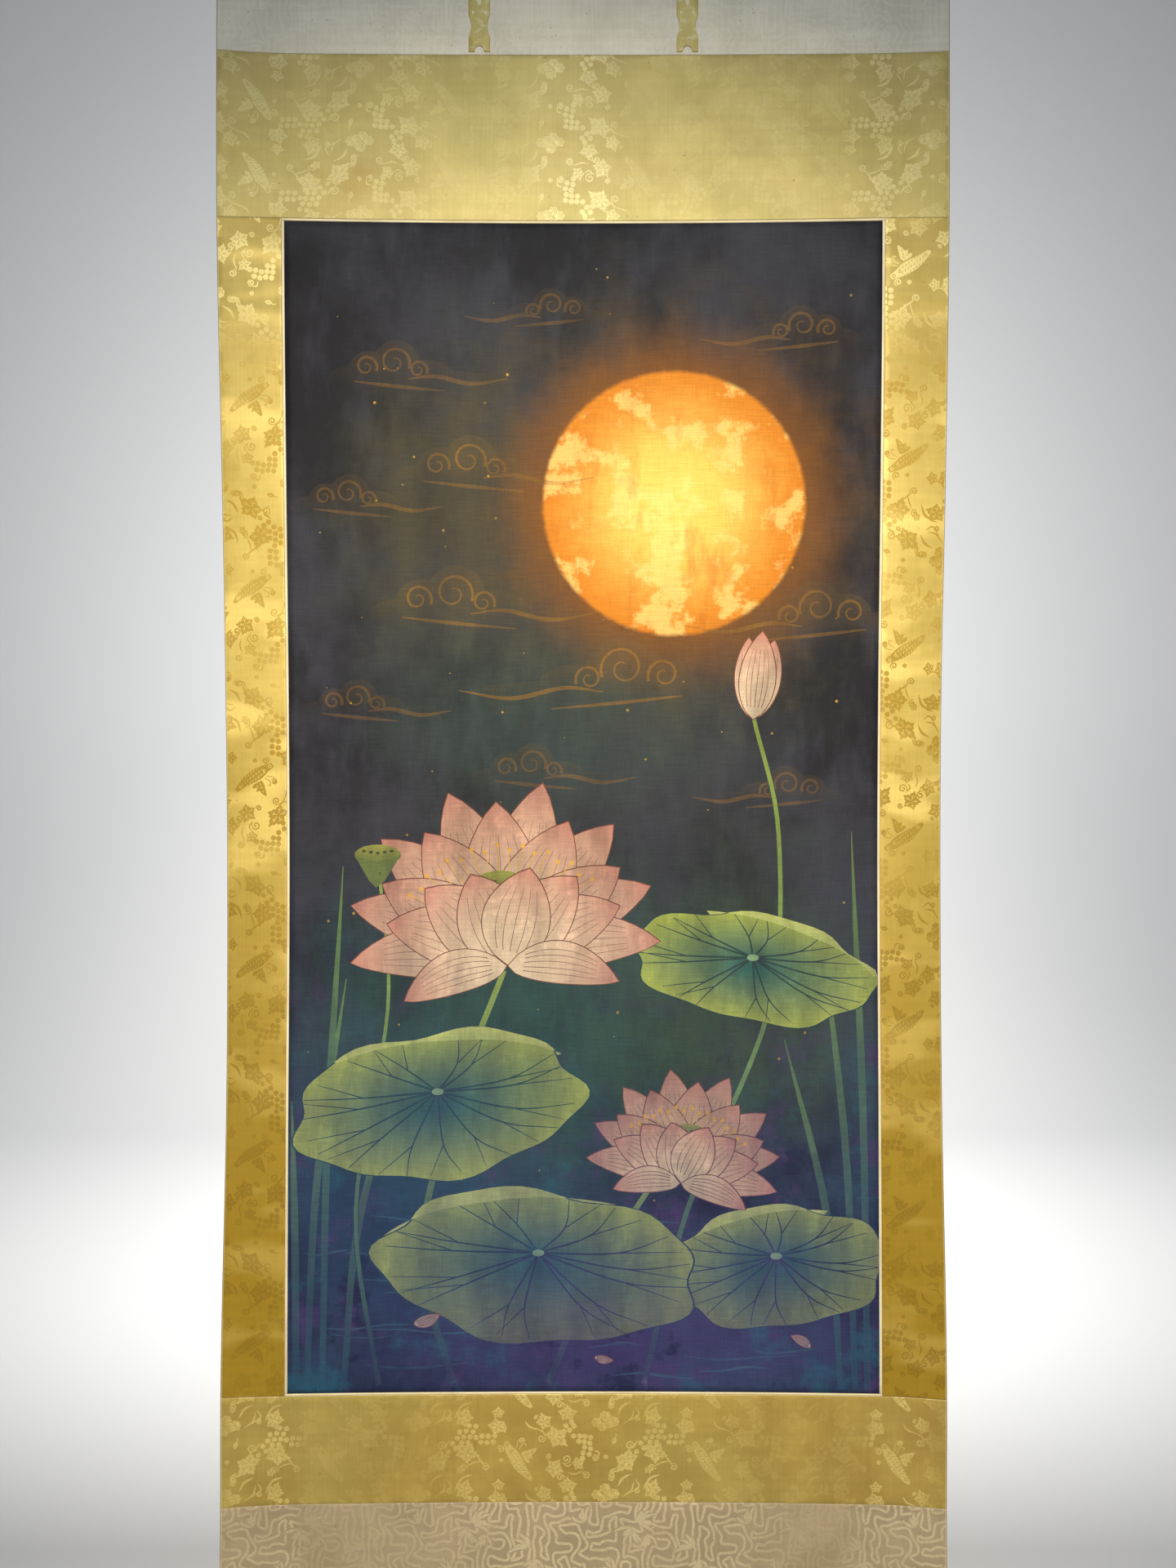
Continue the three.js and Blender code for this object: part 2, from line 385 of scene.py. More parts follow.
class Shade:
    """One output in a surface's nodes. Sums on it add Math nodes."""

    def __init__(self, surface, socket):
        self.surface = surface
        self.socket = socket

    def __add__(self, other):
        return self.surface.math("ADD", self, other)

    def __sub__(self, other):
        return self.surface.math("SUBTRACT", self, other)

    def __rsub__(self, other):
        return self.surface.math("SUBTRACT", other, self)

    def __mul__(self, other):
        return self.surface.math("MULTIPLY", self, other)

    def __truediv__(self, other):
        return self.surface.math("DIVIDE", self, other)

    def __pow__(self, other):
        return self.surface.math("POWER", self, other)

    __radd__ = __add__
    __rmul__ = __mul__


class Surface:
    """A material whose nodes are added one call at a time."""

    def __init__(self, name):
        self.material = bpy.data.materials.new(name)
        self.material.use_nodes = True
        self.nodes = self.material.node_tree.nodes
        self.nodes.clear()

    def add(self, kind, settings=None, inputs=None, output=0):
        node = self.nodes.new(kind)
        for key, value in (settings or {}).items():
            setattr(node, key, value)
        for key, value in (inputs or {}).items():
            if isinstance(value, Shade):
                self.material.node_tree.links.new(value.socket, node.inputs[key])
            else:
                node.inputs[key].default_value = value
        return Shade(self, node.outputs[output])

    def math(self, operation, *values):
        return self.add("ShaderNodeMath", {"operation": operation}, dict(enumerate(values)))

    def cloth_place(self):
        """The place on the flat cloth, in metres."""
        return self.add("ShaderNodeUVMap", {"uv_map": "cloth"})

    def attribute(self, name, output="Fac"):
        return self.add("ShaderNodeAttribute", {"attribute_name": name}, output=output)

    def noise(self, place, scale, stretch=(1, 1, 1), shift=(0, 0, 0), detail=3, rough=0.5):
        """Soft noise from 0 to 1, stretched along one way of the cloth where that is given."""
        given = {"Vector": place, "Scale": stretch, "Location": shift}
        mapped = self.add("ShaderNodeMapping", None, given)
        given = {"Vector": mapped, "Scale": scale, "Detail": detail, "Roughness": rough}
        return self.add("ShaderNodeTexNoise", {"noise_dimensions": "2D"}, given)

    def between(self, value, low, high, start=0.0, end=1.0):
        """Eases from start to end as the value goes from low to high."""
        given = {"Value": value, "From Min": low, "From Max": high, "To Min": start, "To Max": end}
        return self.add("ShaderNodeMapRange", {"interpolation_type": "SMOOTHSTEP"}, given)

    def mix(self, share, first, second):
        """A mix of two colours."""
        return self.add("ShaderNodeMix", {"data_type": "RGBA"}, {0: share, 6: first, 7: second}, 2)

    def tone(self, color, value):
        """A colour made lighter or darker by a value."""
        return self.add("ShaderNodeVectorMath", {"operation": "SCALE"}, {0: color, "Scale": value})

    def bump(self, height, distance, strength=1.0):
        given = {"Height": height, "Distance": distance, "Strength": strength}
        return self.add("ShaderNodeBump", None, given)

    def gloss(self, color, normal=None, **finish):
        """A Principled shader. The finish's names have underscores for spaces."""
        given = {"Base Color": color}
        if normal:
            given["Normal"] = normal
        given.update({key.replace("_", " "): value for key, value in finish.items()})
        return self.add("ShaderNodeBsdfPrincipled", None, given)

    def finish(self, shader):
        output = self.nodes.new("ShaderNodeOutputMaterial")
        self.material.node_tree.links.new(shader.socket, output.inputs["Surface"])
        return self.material


def srgb(red, green, blue):
    """A colour given as it looks, from 0 to 255, as the shaders count it."""
    def straight(value):
        value /= 255
        return value / 12.92 if value <= 0.04045 else ((value + 0.055) / 1.055) ** 2.4

    return (straight(red), straight(green), straight(blue), 1)


def make_backing_paper():
    """Off-white mulberry paper with long soft fibres, pasted behind all the silk."""
    paper = Surface("backing_paper")
    place = paper.cloth_place()
    cloudy = paper.noise(place, 9, detail=5)
    fibres = paper.noise(place, 260, stretch=(1, 0.12, 1), detail=2)
    aged = paper.mix(paper.between(cloudy, 0.3, 0.75), srgb(216, 206, 182), srgb(206, 192, 164))
    specks = paper.between(paper.noise(place, 120, shift=(4, 4, 0), detail=2), 0.72, 0.78)
    aged = paper.mix(specks * 0.4, aged, srgb(160, 134, 96))
    color = paper.tone(aged, 0.86 + 0.28 * fibres)
    normal = paper.bump(fibres, 0.15 * MM, 0.4)
    return paper.finish(paper.gloss(color, normal, Roughness=0.85))


backing_paper = make_backing_paper()


def mark_figure(sheet, figure):
    """Marks how far each front face belongs to the woven figure, from 0 to 1."""
    marks = np.zeros(len(sheet.data.polygons))
    marks[:len(figure)] = figure
    sheet.data.attributes.new("figure", "FLOAT", "FACE").data.foreach_set("value", marks)


def put_in_place(made, node, material):
    """Gives a hung piece its cloth and its backing, and puts it in its solid's place."""
    made.data.materials.append(material)
    made.data.materials.append(backing_paper)
    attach(made, "root")
    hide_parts(node)
    return made


# The fillets: four narrow strips of plain cream silk pasted round the painting. The top and
# bottom ones run over the ends of the side ones.
FILLET_STEP = 10 * MM


def make_cream_silk():
    """Plain cream silk with fine threads both ways, a little greyed with age."""
    silk = Surface("cream_silk")
    place = silk.cloth_place()
    cloudy = silk.noise(place, 14, detail=4)
    threads = silk.noise(place, 800, stretch=(0.08, 1, 1), detail=2)
    color = silk.mix(silk.between(cloudy, 0.35, 0.7), srgb(240, 226, 184), srgb(222, 204, 156))
    color = silk.tone(color, 0.9 + 0.2 * threads)
    normal = silk.bump(threads, 0.1 * MM, 0.5)
    return silk.finish(silk.gloss(color, normal, Roughness=0.5, Sheen_Weight=0.2))


cream_silk = make_cream_silk()


def make_fillet(name, node, left, right, top, bottom):
    """One plain strip with a soft edge all round."""
    outline = rectangle(left, right, top, bottom, FILLET_STEP)
    inner = rectangle(
        left + SOFT_EDGE, right - SOFT_EDGE, top + SOFT_EDGE, bottom - SOFT_EDGE, FILLET_STEP
    )
    flat, faces, _, _ = fill([outline, inner])
    return put_in_place(make_sheet(name, flat, faces), node, cream_silk)


FILLETS = [
    # name, node, left, right, top, bottom
    ("cream_top", "fillet_top", -fillet_end, fillet_end, mounting_start, painting_start - SEAM),
    ("cream_bottom", "fillet_bottom", -fillet_end, fillet_end, painting_end + SEAM, mounting_end),
    ("cream_left", "fillet_left", -fillet_end, -fillet_start, painting_start, painting_end),
    ("cream_right", "fillet_right", fillet_start, fillet_end, painting_start, painting_end),
]
fillets = [make_fillet(*fillet) for fillet in FILLETS]


# The painting: dark silk painted with a lotus pond under a golden moon. Each painted shape is an
# outline on the flat silk, in millimetres across from the middle and down from its top edge,
# and later shapes cover earlier ones.
PAINT_STEP = 8


def through(points, steps=6):
    """A smooth line through some points."""
    known = np.array(points, float)
    ends = np.vstack([2 * known[0] - known[1], known, 2 * known[-1] - known[-2]])
    t = np.arange(steps)[:, None] / steps
    line = [
        p1 + 0.5 * t * (p2 - p0 + t * (2 * p0 - 5 * p1 + 4 * p2 - p3 + t * (3 * (p1 - p2) + p3 - p0)))
        for p0, p1, p2, p3 in zip(ends, ends[1:], ends[2:], ends[3:])
    ]
    return np.vstack([*line, known[-1:]])


def strip(line, start_width, end_width, middle_width=None):
    """The outline of a stroke along a line, whose width changes evenly or swells in the middle."""
    share = np.linspace(0, 1, len(line))
    width = start_width + (end_width - start_width) * share
    if middle_width is not None:
        width = width + (middle_width - width) * np.sin(math.pi * share)
    ahead = np.gradient(line, axis=0)
    ahead /= np.linalg.norm(ahead, axis=1)[:, None]
    side = np.stack([-ahead[:, 1], ahead[:, 0]], axis=1) * width[:, None] / 2
    return np.vstack([line + side, (line - side)[::-1]])


def oval(x, y, reach_across, reach_down=None, count=24):
    """An oval outline, or a round one where only one reach is given."""
    turn = np.linspace(0, 2 * math.pi, count, endpoint=False)
    reach_down = reach_down or reach_across
    return np.stack([x + reach_across * np.cos(turn), y + reach_down * np.sin(turn)], axis=1)


shapes = []


def paint(outline, color, cover=1.0, second=None, share=None):
    """Adds a painted shape. share(points) mixes its second colour in, and cover may be a function."""
    first, other = np.array(srgb(*color)), second and np.array(srgb(*second))
    shapes.append((np.asarray(outline), first, cover, other, share))


def along(start, end):
    """How far places lie from a start towards an end, from 0 to 1."""
    start, way = np.array(start, float), np.array(end, float) - start
    return lambda places: np.clip((places - start) @ way / (way @ way), 0, 1)


def sinking(start, end, most):
    """A cover that thins as a shape goes down into the water."""
    return lambda places: 1 - most * smooth_between(places[:, 1], start, end)


OUTLINE_BROWN = (120, 66, 50)
OUTLINE_WIDTH = 1.1
PETAL_CREAM = (226, 200, 168)
PETAL_PINK = (206, 136, 118)
PETAL_VEIN = (196, 128, 112)
PETAL_VEINS = (-0.56, -0.3, 0, 0.3, 0.56)
PETAL_STEPS = 14
PETAL_WIDEST_AT = 0.4516


def petal_fullness(share):
    """How a petal widens from its foot at 0 and draws in to its tip at 1."""
    return share**0.7 * (1 - share) ** 0.85


def petal_outline(base, tip, width, bulge, shrink=0.0):
    """A petal's outline, its left side first. shrink draws it in all round."""
    base, tip = np.array(base, float), np.array(tip, float)
    way = tip - base
    length = np.linalg.norm(way)
    side = np.array([-way[1], way[0]]) / length
    share = np.linspace(0, 1, PETAL_STEPS + 1)
    inner = shrink / length
    ahead = inner + share * (1 - 2.5 * inner)
    middle = base + way * ahead[:, None] + side * (bulge * 4 * share * (1 - share))[:, None]
    half = (width / 2 - shrink) * petal_fullness(share) / petal_fullness(PETAL_WIDEST_AT)
    left = middle + side * half[:, None]
    right = middle - side * half[:, None]
    return np.vstack([left, right[-2:0:-1]])


def paint_petal(base, tip, width, bulge, light):
    """A petal with a fine outline, pinker towards its tip, and faint veins."""
    cream = tuple(light * c for c in PETAL_CREAM)
    pink = tuple(light * c for c in PETAL_PINK)
    blush = along(base, tip)
    paint(petal_outline(base, tip, width, bulge), OUTLINE_BROWN)
    inner = petal_outline(base, tip, width, bulge, OUTLINE_WIDTH)
    paint(inner, cream, 1.0, pink, lambda places: blush(places) ** 2.2)
    for spread in PETAL_VEINS:
        vein = petal_outline(base, tip, width * spread, bulge)[:PETAL_STEPS + 1]
        paint(strip(vein[2:-3], 0.9, 0.5), PETAL_VEIN, 0.45)


# Petals in the order in which they are painted, in sizes of their flower
BLOSSOM = [
    # turn from upright, length, width, bulge to the side
    (-14, 1.00, 0.40, 0.02), (16, 1.02, 0.40, -0.02), (-40, 0.98, 0.38, 0.04),
    (42, 0.97, 0.38, -0.04), (-64, 0.92, 0.34, 0.06), (66, 0.90, 0.34, -0.06),
    (1, 0.90, 0.44, 0.00), (-27, 0.86, 0.42, 0.02), (28, 0.86, 0.42, -0.02),
    (-52, 0.82, 0.38, 0.04), (54, 0.82, 0.38, -0.04),
]
BLOSSOM_FRONT = [
    (-84, 0.86, 0.30, 0.07), (86, 0.85, 0.30, -0.07), (-66, 0.70, 0.34, 0.05),
    (67, 0.70, 0.34, -0.05), (-42, 0.62, 0.38, 0.03), (43, 0.62, 0.38, -0.03),
    (-17, 0.54, 0.38, 0.01), (18, 0.55, 0.38, -0.01), (-104, 0.60, 0.24, 0.06),
    (103, 0.62, 0.24, -0.06),
]
CLOSED_BUD = [(-9, 0.93, 0.34, -0.0225), (9, 0.93, 0.34, 0.0225), (0, 1.0, 0.42, 0)]
FALLEN_PETAL = [(0, 1, 0.44, 0.05)]
POD_GREEN = (150, 150, 66)
POD_SHADE = (92, 104, 52)
STAMEN_GOLD = (224, 170, 62)


def petal_tip(x, y, size, turn, length):
    """Where a petal of a flower at x and y ends."""
    way = math.radians(turn)
    return x + size * length * math.sin(way), y - size * length * math.cos(way)


def paint_petals(petals, x, y, size, lean, light):
    """Petals that all spring from one spot at their flower's foot."""
    for turn, length, width, bulge in petals:
        tip = petal_tip(x, y, size, turn + lean, length)
        paint_petal((x, y), tip, size * width, size * bulge, light)


def paint_blossom(x, y, size, lean, light):
    """An open lotus: far petals, a ring of stamens round a pod, and near petals."""
    paint_petals(BLOSSOM, x, y, size, lean, light * 0.94)
    pod_x, pod_y = petal_tip(x, y, size, lean, 0.44)
    for turn in range(-80, 81, 10):
        tip = petal_tip(x, y, size, turn * 0.62 + lean, 0.66 - 0.03 * (turn // 10 % 2))
        foot = petal_tip(x, y, size, turn * 0.4 + lean, 0.3)
        paint(strip(through([foot, tip], 2), 1.1, 0.9), STAMEN_GOLD, 0.9)
        paint(oval(*tip, 2.2, 2.8, 8), STAMEN_GOLD)
    pod = oval(pod_x, pod_y, size * 0.15, size * 0.08)
    paint(pod, POD_GREEN, 1.0, POD_SHADE, along((0, pod_y - 12), (0, pod_y + 12)))
    for dot in (-0.09, -0.03, 0.03, 0.09):
        paint(oval(pod_x + size * dot, pod_y - size * 0.02, 2.2, 1.6, 8), (70, 78, 40))
    paint_petals(BLOSSOM_FRONT, x, y, size, lean, light)


LEAF_RIM = (168, 178, 74)
LEAF_HEART = (38, 92, 84)
LEAF_VEIN = (24, 62, 62)
LEAF_GLINT = (150, 190, 140)
LEAF_BACK = (128, 168, 112)
LEAF_BACK_RIM = (190, 196, 110)
LEAF_VEINS = 15
STEM_GREEN = (58, 110, 76)
STEM_TOP = (142, 160, 70)


def paint_leaf(x, y, across, down, tilt, phase, fade_start=1150, fade_end=1330):
    """A broad leaf seen from the side and a little above, bright at its waved rim."""
    lean = math.radians(tilt)
    c, s = math.cos(lean), math.sin(lean)
    sunk = sinking(fade_start, fade_end, 0.86)

    def at(angle, reach):
        a, d = across * reach * np.cos(angle), down * reach * np.sin(angle)
        return np.stack([x + a * c - d * s, y + a * s + d * c], axis=-1)

    def reach_of(places):
        a, d = places[:, 0] - x, places[:, 1] - y
        return np.clip(np.hypot((a * c + d * s) / across, (d * c - a * s) / down), 0, 1)

    def wave(angle):
        return 1 + 0.045 * np.sin(5 * angle + phase) + 0.03 * np.sin(9 * angle + 2 * phase)

    turn = np.linspace(0, 2 * math.pi, 72, endpoint=False)
    paint(at(turn, wave(turn)), LEAF_VEIN, sunk)
    inner = at(turn, wave(turn) - 0.012)
    paint(inner, LEAF_RIM, sunk, LEAF_HEART, lambda places: 1 - reach_of(places) ** 1.6)
    heart = at(0.0, 0.0) + (0, -0.18 * down)
    for k in range(LEAF_VEINS):
        angle = (k + 0.5) / LEAF_VEINS * 2 * math.pi + 0.12 * math.sin(3 * k + phase)
        bend = at(angle + 0.10, 0.55)
        vein = through([heart, bend, at(angle, 0.96)], 5)
        branch = through([bend, at(angle + 0.19, 0.8), at(angle + 0.22, 0.95)], 4)
        paint(strip(vein, 2.4, 0.7), LEAF_VEIN, lambda places: 0.55 * sunk(places))
        paint(strip(branch, 1.3, 0.5), LEAF_VEIN, lambda places: 0.45 * sunk(places))
    paint(oval(*heart, 7, 4, 12), LEAF_GLINT, 0.8)
    fold = np.linspace(-0.9, 0.9, 19) - math.pi / 2 + 0.5 * math.sin(phase)
    lip = at(fold, 0.86 + 0.14 * np.abs(np.linspace(-1, 1, 19)) ** 1.5)
    turned_up = np.vstack([at(fold, wave(fold)), lip[::-1]])
    paint(turned_up, LEAF_BACK, sunk, LEAF_BACK_RIM, reach_of)


def paint_stem(width, *points):
    """A stem from its foot in the water up to its leaf or flower."""
    line = through(points, 8)
    foot = line[0][1]
    sunk = sinking(foot - 160, foot, 0.8)
    paint(strip(line, width + 1.6, width), LEAF_VEIN, sunk)
    paint(strip(line, width, width - 1.4), STEM_GREEN, sunk, STEM_TOP, along(line[0], line[-1]))


CLOUD_OCHRE = (134, 96, 34)
CLOUD_MIST = (96, 78, 44)
# Parts of a cloud in its own sizes, across the way it drifts and down
MIST_LOBES = [
    # across, down, reach across, reach down
    (1.35, 0.42, 1.0, 0.22), (0.7, 0.3, 0.62, 0.36), (-0.95, 0.36, 0.5, 0.26),
    (-0.56, 0.16, 0.44, 0.4), (0.05, 0.04, 0.52, 0.52),
]
CLOUD_HEADS = [
    # across, down, size
    (0, 0, 1.0), (-0.62, 0.1, 0.72), (0.52, 0.16, 0.6),
]
CLOUD_TAIL = [(0.3, 0.36), (0.9, 0.30), (1.7, 0.46), (2.5, 0.34)]
CLOUD_FOOT = [(-0.9, 0.42), (0, 0.52), (1.1, 0.62)]


def paint_cloud(x, y, size, facing, cover):
    """A bank of thin mist, with a curled cloud on it in ochre: three rolled heads and a tail."""
    def at(spots):
        return [(x + facing * size * a, y + size * d) for a, d in spots]

    def thin(places):
        return 0.5 * cover * (1 - smooth_between(places[:, 1], y - size * 0.2, y + size * 0.62))

    for lobe_x, lobe_y, across, down in MIST_LOBES:
        lobe = oval(x + facing * size * lobe_x, y + size * lobe_y, size * across, size * down, 26)
        paint(lobe, CLOUD_MIST, thin)
    turn = np.linspace(-0.4, 2.6 * math.pi, 30)
    for head_x, head_y, head in CLOUD_HEADS:
        reach = size * head * 0.34 * (1 - turn / (3.3 * math.pi))
        curl = np.stack([
            x + facing * (size * head_x + reach * np.cos(turn)),
            y + size * head_y - reach * np.sin(turn),
        ], axis=1)
        paint(strip(curl, 3.4, 1.4), CLOUD_OCHRE, cover)
    paint(strip(through(at(CLOUD_TAIL), 7), 1.2, 1.0, 5.0), CLOUD_OCHRE, cover * 0.9)
    paint(strip(through(at(CLOUD_FOOT), 7), 1.0, 1.0, 4.2), CLOUD_OCHRE, cover * 0.8)


CLOUDS = [
    # across, down, size, +1 or -1 for the way it faces, cover
    (-216, 158, 52, 1, 0.5), (-36, 92, 40, -1, 0.42), (250, 116, 46, -1, 0.5),
    (-270, 306, 44, 1, 0.45), (-132, 268, 58, 1, 0.62), (-150, 420, 66, 1, 0.72),
    (270, 436, 62, -1, 0.7), (46, 506, 76, -1, 0.8), (-262, 540, 44, 1, 0.42),
    (236, 640, 44, -1, 0.42), (-60, 616, 48, 1, 0.45),
]
GOLD_FLECKS = 70
FLECK_GOLD = (206, 160, 62)
WATER_LINES = 26
WATER_BLUE = (74, 128, 138)
WATER_LINE_END = 334
POND_FOOT = 1335
REEDS = [
    # foot across, height, lean
    (-318, 470, 44), (-300, 600, 22), (-276, 380, 70), (-330, 330, -6), (312, 520, -36),
    (296, 400, -64), (326, 640, -16),
]
REED_FOOT = (30, 84, 84)
REED_TIP = (112, 142, 70)
SEED_POD = (-238, 722)
SEED_POD_CUP = [(-265, 722), (-248, 752), (-240, 760), (-230, 752), (-211, 722), (-238, 733)]
SEED_POD_GREEN = (104, 118, 58)
SEED_BROWN = (66, 74, 38)


def lay_out_pond():
    """Places everything that is painted, from the far clouds to the nearest blossoms."""
    draw = random.Random(7)
    for cloud in CLOUDS:
        paint_cloud(*cloud)
    for _ in range(GOLD_FLECKS):
        x, y = draw.uniform(-320, 320), draw.uniform(30, 1180)
        size = draw.uniform(0.7, 1.9)
        paint(oval(x, y, size, count=7), FLECK_GOLD, draw.uniform(0.35, 0.8))
    for k in range(WATER_LINES):
        x, y = draw.uniform(-330, 200), draw.uniform(1130, 1325)
        length = draw.uniform(50, 170)
        wave = through([(x + length * t, y + 3 * math.sin(5 * t + k)) for t in (0, 0.33, 0.67, 1)], 5)
        wave = wave[wave[:, 0] < WATER_LINE_END]
        paint(strip(wave, 0.8, 0.8, draw.uniform(1.8, 3.6)), WATER_BLUE, draw.uniform(0.25, 0.5))
    for x, height, lean in REEDS:
        top = POND_FOOT - height
        blade = through([(x, POND_FOOT), (x + lean * 0.25, POND_FOOT - height * 0.5), (x + lean, top)], 9)
        upwards = along((0, POND_FOOT), (0, top))
        paint(strip(blade, 7, 0.8, 8.5), REED_FOOT, 0.75, REED_TIP, upwards)
    paint_stem(8, (-150, 1330), (-186, 1180), (-150, 1010), (-92, 856))
    paint_stem(6, (70, 1330), (120, 1130), (214, 900), (226, 700), (196, 560))
    paint_stem(7, (-40, 1330), (10, 1210), (60, 1130), (104, 1066))
    paint_stem(5, (-236, 1330), (-262, 1130), (-226, 900), (-236, 742))
    paint_leaf(-168, 1010, 168, 84, -8, 0.4)
    paint_leaf(196, 852, 142, 62, 10, 2.1)
    paint_leaf(222, 1196, 128, 70, -4, 4.0, fade_start=1200)
    paint_leaf(-52, 1196, 186, 88, 5, 5.2, fade_start=1190)
    paint_blossom(-88, 850, 212, -5, 1.0)
    paint_petals(CLOSED_BUD, 196, 566, 104, 6, 0.96)
    x, y = SEED_POD
    paint(oval(x, y, 27, 12, 20), POD_GREEN, 1.0, POD_SHADE, along((0, y - 10), (0, y + 12)))
    paint(SEED_POD_CUP, SEED_POD_GREEN)
    for seed in (-16, -8, 0, 8, 16):
        paint(oval(x + seed, y - 2 - abs(seed) * 0.15, 2.4, 1.8, 8), SEED_BROWN)
    paint_blossom(112, 1100, 132, 9, 0.97)
    for x, y, size, turn in ((-196, 1262, 34, 70), (262, 1288, 28, -60), (12, 1300, 24, 100)):
        paint_petals(FALLEN_PETAL, x, y, size, turn, 0.92)


lay_out_pond()


PAINT_MARGIN = 0.5
JITTER = 1


def make_painting():
    """The painted sheet. A corner's paint colour and cover come from the shape that it is in."""
    side, tall = PAINTING_WIDTH / MM / 2, PAINTING_HEIGHT / MM
    draw = random.Random(3)
    grid = [
        (a + draw.uniform(-JITTER, JITTER), d + draw.uniform(-JITTER, JITTER))
        for a in spaced(-side, side, PAINT_STEP)[1:-1]
        for d in spaced(0, tall, PAINT_STEP)[1:-1]
    ]
    lowest = (PAINT_MARGIN - side, PAINT_MARGIN)
    highest = (side - PAINT_MARGIN, tall - PAINT_MARGIN)
    painted = [[tuple(p) for p in np.clip(shape[0], lowest, highest)] for shape in shapes]
    flat, faces, owners, _ = fill([rectangle(-side, side, 0, tall, PAINT_STEP), *painted], grid)
    sheet = make_sheet("painted_silk", flat * MM + (0, painting_start), faces)
    colors = np.zeros((len(sheet.data.loops), 4))
    for k, (_, first, cover, second, share) in enumerate(shapes, 1):
        mine = np.flatnonzero(owners == k)
        if not len(mine):
            continue
        places = flat[faces[mine, ::-1].ravel()]
        mixed = np.tile(first, (len(places), 1))
        if second is not None:
            part = share(places)[:, None]
            mixed = first * (1 - part) + second * part
        mixed[:, 3] = cover(places) if callable(cover) else cover
        loops = (mine[:, None] * 3 + np.arange(3)).ravel()
        colors[loops] = mixed
    layer = sheet.data.color_attributes.new("paint", "FLOAT_COLOR", "CORNER")
    layer.data.foreach_set("color", colors.ravel())
    return sheet


def across_and_down(silk):
    """The place on the flat cloth, and each of its two measures alone, in metres."""
    place = silk.cloth_place()
    across = silk.add("ShaderNodeSeparateXYZ", None, {0: place})
    down = silk.add("ShaderNodeSeparateXYZ", None, {0: place}, 1) * -1
    return place, across, down


MOON_ACROSS = 104
MOON_DOWN = 318
MOON_RADIUS = 152
HAZES = [
    # across, down, half width, half height in millimetres, strength, colour
    (20, 400, 360, 400, 0.8, (54, 60, 56)), (90, 330, 300, 290, 0.8, (96, 68, 26)),
    (-150, 330, 180, 230, 0.6, (74, 66, 42)), (-40, 560, 260, 150, 0.5, (52, 70, 66)),
    (-70, 930, 330, 250, 0.75, (44, 78, 72)), (180, 900, 230, 230, 0.6, (58, 74, 56)),
    (40, 1250, 380, 150, 0.7, (66, 54, 110)), (-210, 1120, 190, 210, 0.6, (34, 66, 98)),
]


